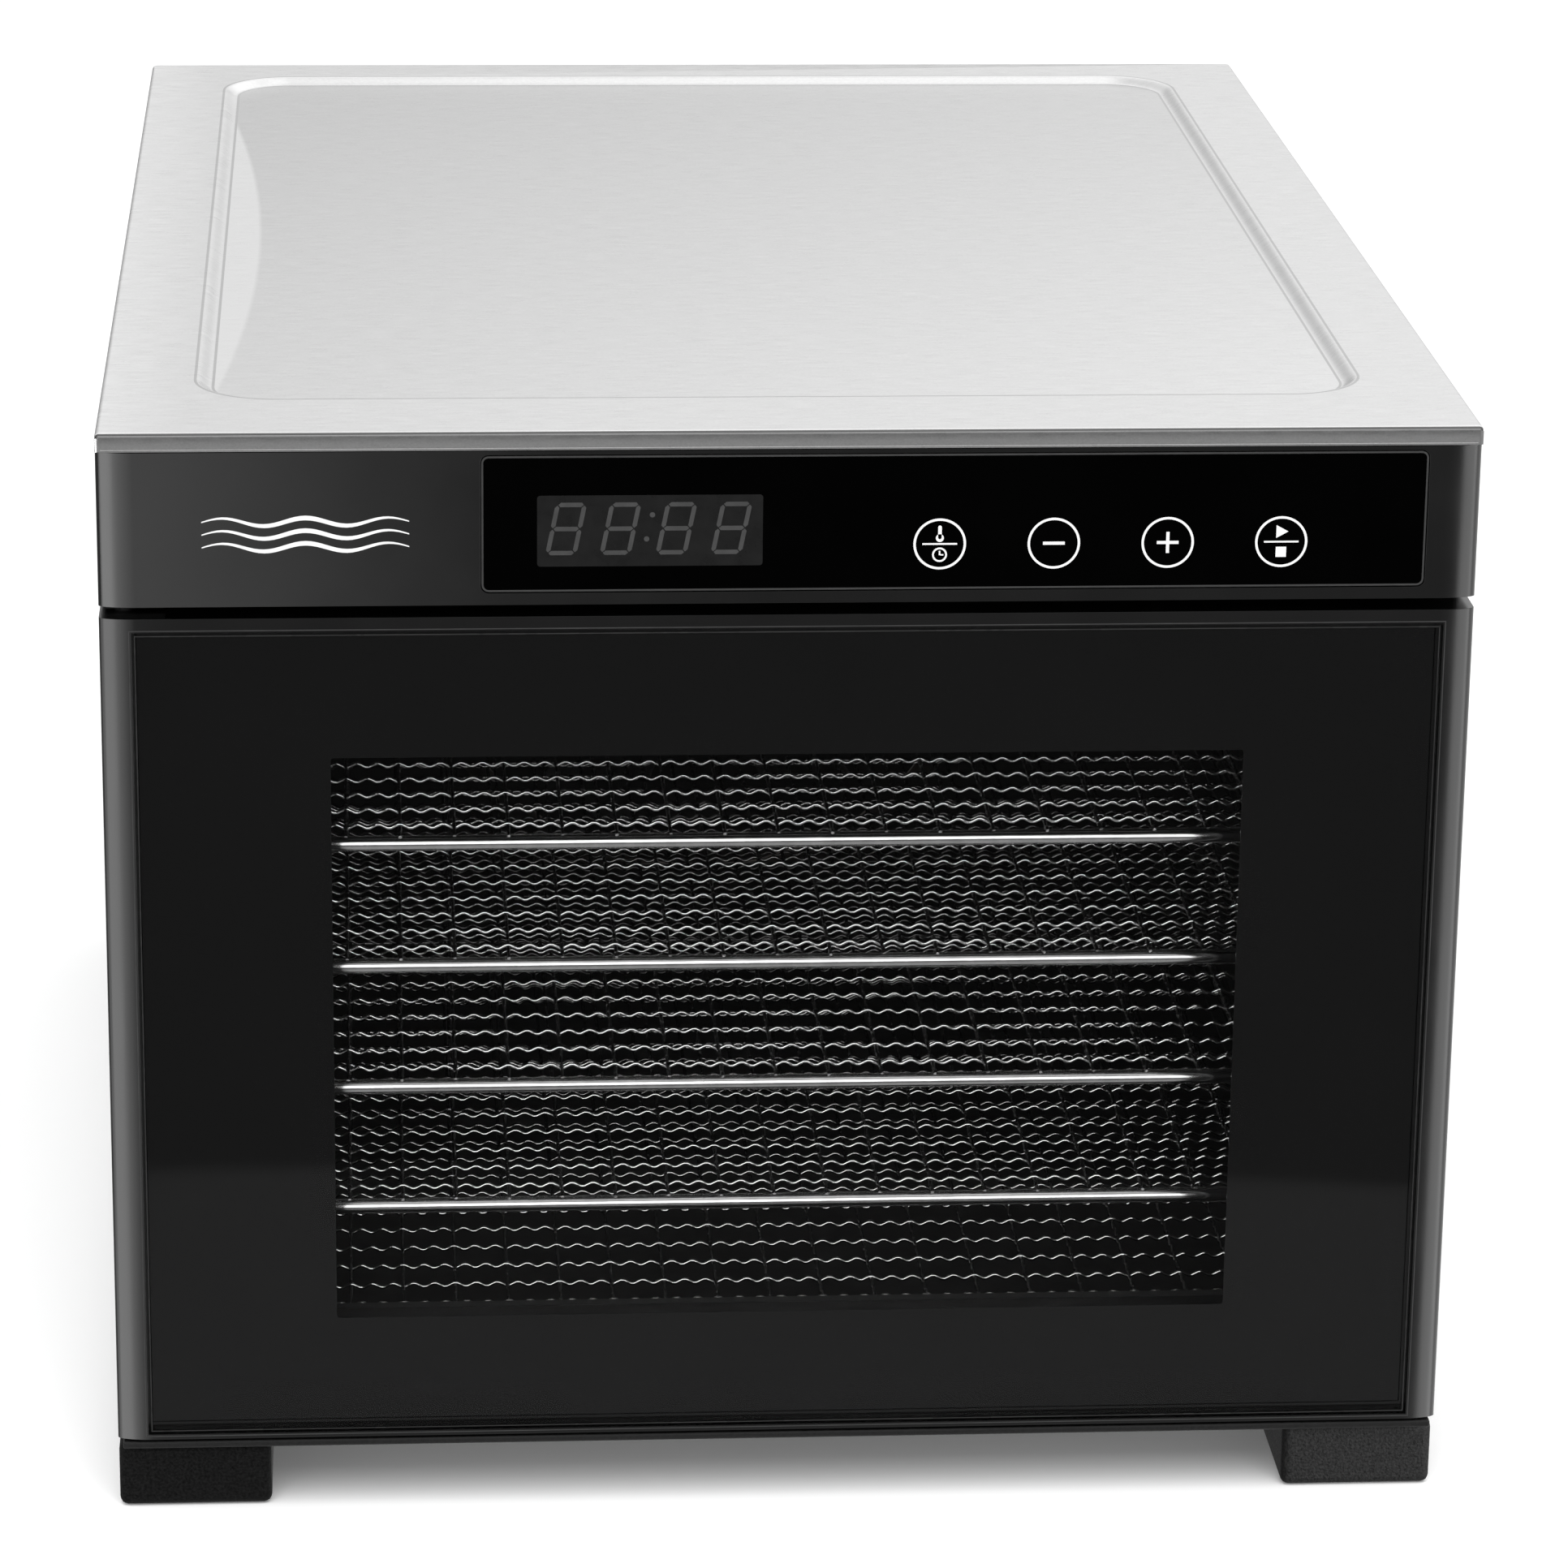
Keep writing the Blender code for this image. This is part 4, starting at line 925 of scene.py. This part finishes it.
def make_door(materials):
    """Door moulding with its window and glass pocket, and the black print behind the glass."""
    low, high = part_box("door_frame")
    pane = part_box("door_glass")
    glass_front = pane[0].y
    glass_back = pane[1].y
    margin = 0.0005
    moulding = prism("door_moulding", "Z", low.z, high.z, [front_plan(high.y)], materials["graphite"])
    pocket = rectangle(*inset(*pane, -margin))
    window = rectangle(-WINDOW_HALF, WINDOW_HALF, WINDOW_LOW, WINDOW_HIGH)
    cut(
        moulding,
        prism("pocket_cutter", "Y", CUT_START, glass_back + 0.0003, [pocket]),
        prism("window_cutter", "Y", CUT_START, BODY_FRONT, [window]),
    )
    place(soften(moulding, 0.00035), "door", "graphite_moulding", "door_frame")
    outer = rectangle(*inset(*pane, margin))
    clear = rounded_rectangle(-CLEAR_HALF, CLEAR_HALF, CLEAR_LOW, CLEAR_HIGH, 0.0006, 3)
    layer = prism(
        "door_print", "Y", glass_back + 0.00005, glass_back + 0.0002, [outer, clear], materials["print"]
    )
    place(layer, "door", "door_glass")
    # Two thin grey strips are painted highlights: one on the glass's edge and one on the moulding's rim
    # round the glass pocket.
    line_width = 0.00026
    line_height = 0.00003
    for name, edge, face, material, slot in (
        ("glass_edge_highlight", 0.0003, glass_front, "glass_edge", "door_glass"),
        ("frame_edge_highlight", -margin - 0.0006, FRONT, "rim", "graphite_moulding"),
    ):
        rings = [rectangle(*inset(*pane, edge)), rectangle(*inset(*pane, edge + line_width))]
        line = prism(name, "Y", face - line_height, face, rings, materials[material])
        place(line, "door", slot)


# ---------------------------------------------------------------- trays

def crimped(reach, crossing_pitch, sign, across, lengthwise):
    """A crimped wire's points: over one crossing wire and under the next, with waves between them."""
    period = crossing_pitch / CRIMP_WAVES
    count = int(round(2 * reach / period * CRIMP_STEPS))
    points = []
    for along in np.linspace(-reach, reach, count + 1):
        height = MESH_HEIGHT + sign * CRIMP_HEIGHT * cos(2 * pi * along / period)
        points.append((along, across, height) if lengthwise else (across, along, height))
    return points


def make_trays(materials):
    """Six trays of crimped wire on a round-bar loop, one mesh shared by all."""
    low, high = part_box("tray_1")
    half = (high.x - low.x) / 2 - ROD_RADIUS
    half_depth = (high.y - low.y) / 2 - ROD_RADIUS
    loop = rounded_rectangle(-half, half, -half_depth, half_depth, ROD_CORNER, 10)
    parts = [bar([(x, y, 0.0) for x, y in loop], (0.0, 0.0, 1.0), ROD_RADIUS, 20, True)]
    runs = (
        (half + MESH_OVERHANG, ALONG_X_COUNT, ALONG_X_PITCH, ALONG_Y_PITCH, 1, True),
        (half_depth + MESH_OVERHANG, ALONG_Y_COUNT, ALONG_Y_PITCH, ALONG_X_PITCH, -1, False),
    )
    for reach, count, pitch, crossing_pitch, first_sign, lengthwise in runs:
        side = (0.0, 1.0, 0.0) if lengthwise else (1.0, 0.0, 0.0)
        for index in range(count):
            turn = index - (count - 1) // 2
            sign = first_sign if turn % 2 == 0 else -first_sign
            points = crimped(reach, crossing_pitch, sign, pitch * turn, lengthwise)
            parts.append(bar(points, side, WIRE_RADIUS, 5))
    mesh = joined("tray_wires", parts)
    mesh.materials.append(materials["wire"])
    # The wires along Y take the darker copy of the wire: painted shade.
    mesh.materials.append(materials["cross_wire"])
    cross_faces = sum(len(faces) for _, faces in parts[-ALONG_Y_COUNT:])
    shares = np.zeros(len(mesh.polygons), dtype=np.int32)
    shares[-cross_faces:] = 1
    mesh.polygons.foreach_set("material_index", shares)
    for tray in range(1, 7):
        low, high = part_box(f"tray_{tray}")
        obj = link(f"wire_tray_{tray}", mesh)
        obj.location = (0.0, (low.y + high.y) / 2, low.z + ROD_RADIUS)
        place(obj, f"tray_{tray}", "tray_wire", f"tray_{tray}")


# ---------------------------------------------------------------- carried-over CAD nodes

def finish_nodes(materials):
    """Give every CAD node its finish, by the slot that the record names."""
    by_slot = {
        "steel": "steel",
        # The chamber's dark enamel is painted shade.
        "dark_enamel": "enamel",
        "black_steel": "black_steel",
        "graphite_moulding": "graphite",
        "gloss_black": "lens",
        "display_grey": "display",
        "door_glass": "glass",
        "textured_plastic": "pan",
        "black_plastic": "plastic",
        "rubber": "seal",
        "foam": "foam",
        "zinc": "zinc",
        "fan_steel": "fan_steel",
        "circuit_board": "board",
        "tray_wire": "wire",
        "heater_tube": "heater",
        "ceramic": "ceramic",
        "magnet": "magnet",
        "cable": "cable",
    }
    for part in frame["record"]["subparts"]:
        mesh = frame["nodes"][part["node"]].data
        mesh.materials.clear()
        mesh.materials.append(materials[by_slot[part["material_slot"]]])


# ---------------------------------------------------------------- studio

def make_camera():
    """The camera, aimed by its turn, tilt and roll."""
    ahead = Vector((
        sin(CAMERA_TURN) * cos(CAMERA_TILT),
        cos(CAMERA_TURN) * cos(CAMERA_TILT),
        -sin(CAMERA_TILT),
    ))
    level = Vector((cos(CAMERA_TURN), -sin(CAMERA_TURN), 0.0))
    above = level.cross(ahead)
    right = cos(CAMERA_ROLL) * level + sin(CAMERA_ROLL) * above
    up = cos(CAMERA_ROLL) * above - sin(CAMERA_ROLL) * level
    data = bpy.data.cameras.new("camera")
    data.lens = CAMERA_LENS
    data.sensor_width = 36.0
    data.clip_end = 50.0
    camera = bpy.data.objects.new("camera", data)
    bpy.context.scene.collection.objects.link(camera)
    rotation = Matrix((right, up, -ahead)).transposed().to_4x4()
    camera.matrix_world = Matrix.Translation(CAMERA_PLACE) @ rotation
    bpy.context.scene.camera = camera


def make_world():
    """White behind the object, and an even fill on dull surfaces.

    Gloss mirrors a room that is bright behind the object and dim in front of it.
    """
    world = bpy.data.worlds.new("studio")
    bpy.context.scene.world = world
    world.use_nodes = True
    world.cycles.sampling_method = "NONE"
    tree = world.node_tree
    direction = add(tree, "ShaderNodeTexCoord").outputs["Generated"]
    axes = add(tree, "ShaderNodeSeparateXYZ", Vector=direction).outputs
    behind = add(
        tree,
        "ShaderNodeMapRange",
        {"interpolation_type": "SMOOTHSTEP"},
        Value=axes["Y"], From_Min=-0.45, From_Max=0.5, To_Min=0.0, To_Max=1.0,
    ).outputs["Result"]
    rise = ranged(tree, axes["Z"], 0.44, 1.25, 0.0, 0.45)
    across = ranged(tree, axes["X"], -0.3, 0.3, -0.5, 0.5)
    ground = ranged(tree, axes["Z"], 0.4, 0.0, -0.3, -0.02)
    wall = combined(tree, "ADD", rise, combined(tree, "ADD", across, ground))
    low = ranged(tree, axes["Z"], 0.48, 0.25, -0.3715, -0.3690)
    high = ranged(tree, axes["Z"], 0.0, 0.5, 0.0, 0.5)
    front = combined(tree, "ADD", low, high)
    room = blended(tree, behind, front, wall)
    rays = add(tree, "ShaderNodeLightPath").outputs
    dull = blended(tree, rays["Is Diffuse Ray"], room, FILL)
    seen = blended(tree, rays["Is Camera Ray"], dull, BACKDROP)
    background = tree.nodes["Background"]
    background.inputs["Color"].default_value = (1.0, 1.0, 1.0, 1.0)
    tree.links.new(seen, background.inputs["Strength"])


def make_light(name, centre, target, width, height, radiance, diffuse=False, only=(), fade=0.0):
    """A softbox facing a target; most show only in gloss, and some only on a few pieces.

    `fade` is the share of its width over which it dims to nothing at one end.
    """
    data = bpy.data.lights.new(name, "AREA")
    data.shape = "RECTANGLE"
    data.size = width
    data.size_y = height
    data.energy = radiance * pi * width * height
    light = bpy.data.objects.new(name, data)
    bpy.context.scene.collection.objects.link(light)
    light.location = centre
    aim = Vector(target) - Vector(centre)
    light.rotation_mode = "QUATERNION"
    light.rotation_quaternion = aim.to_track_quat("-Z", "Y")
    light.visible_camera = False
    light.visible_diffuse = diffuse
    if fade:
        data.use_nodes = True
        tree = data.node_tree
        spot = add(tree, "ShaderNodeNewGeometry").outputs["Parametric"]
        across = add(tree, "ShaderNodeSeparateXYZ", Vector=spot).outputs["X"]
        strength = ranged(tree, across, 1.0, 0.0, 1.0 - fade, 1.0)
        tree.links.new(strength, tree.nodes["Emission"].inputs["Strength"])
    if only:
        lit = bpy.data.collections.new(f"lit_by_{name}")
        for piece in only:
            lit.objects.link(bpy.data.objects[piece])
        light.light_linking.receiver_collection = lit


def make_studio(materials):
    """Pale floor, world and softboxes."""
    outline = rectangle(-FLOOR_HALF, FLOOR_HALF, -FLOOR_HALF, FLOOR_HALF)
    mesh = bpy.data.meshes.new("floor")
    mesh.from_pydata([(x, y, 0.0) for x, y in outline], [], [(0, 1, 2, 3)])
    floor = link("floor", mesh, materials["floor"])
    floor.location.z = -FLOOR_DROP
    floor.visible_glossy = False
    floor.visible_shadow = False
    make_world()
    trays = [f"wire_tray_{tray}" for tray in range(1, 7)]
    mouldings = ["fascia_moulding", "door_moulding"]
    left_edges = [*mouldings, "lip_end_left"]
    upper_edges = ["fascia_moulding", "lip_end_left"]
    left_front = (-0.17, -0.22, 0.15)
    right_front = (0.17, -0.22, 0.15)
    make_light("key_top", (0.3, -0.3, 2.4), (0.0, 0.0, 0.1), 1.6, 1.6, 0.5, diffuse=True)
    make_light(
        "floor_box", (0.0, -1.6, 2.0), (0.0, -0.3, 0.0), 2.4, 2.0, 3.2, diffuse=True, only=["floor"]
    )
    make_light(
        "foot_box", (1.2, -1.3, 0.5), (0.15, -0.22, 0.0), 0.8, 0.8, 34.0,
        diffuse=True, only=["foot_block_front_right"],
    )
    make_light("tray_box", (-0.55, -1.15, 0.52), (-0.25, -0.1, 0.14), 2.1, 0.7, 2.7, only=trays)
    make_light(
        "left_card", (-0.53, -0.62, 0.0), (-0.53, 0.0, 0.0), 0.92, 0.9, 2.6, only=upper_edges, fade=0.3
    )
    make_light(
        "door_card", (-0.418, -0.3, 0.0), (-0.418, 0.0, 0.0), 0.5, 0.9, 1.8,
        only=["door_moulding"], fade=0.04,
    )
    make_light("left_box", (-0.9, -1.1, -0.25), left_front, 0.7, 1.2, 2.0, only=left_edges)
    make_light("right_box", (1.0, -1.1, -0.25), right_front, 0.7, 1.2, 2.8, only=mouldings)
    make_light("right_side", (1.1, -0.2, -0.1), right_front, 1.6, 1.2, 1.5, only=mouldings)


def build():
    """Make every piece, the camera and the studio."""
    bpy.context.scene.view_settings.view_transform = "Standard"
    materials = make_materials()
    make_camera()
    finish_nodes(materials)
    make_shell(materials)
    make_lip(materials)
    make_fascia(materials)
    make_display(materials)
    make_symbols(materials)
    make_airflow_mark(materials)
    make_base(materials)
    make_rear_screws(materials)
    make_cord_sleeve(materials)
    make_door(materials)
    make_trays(materials)
    make_studio(materials)


build()
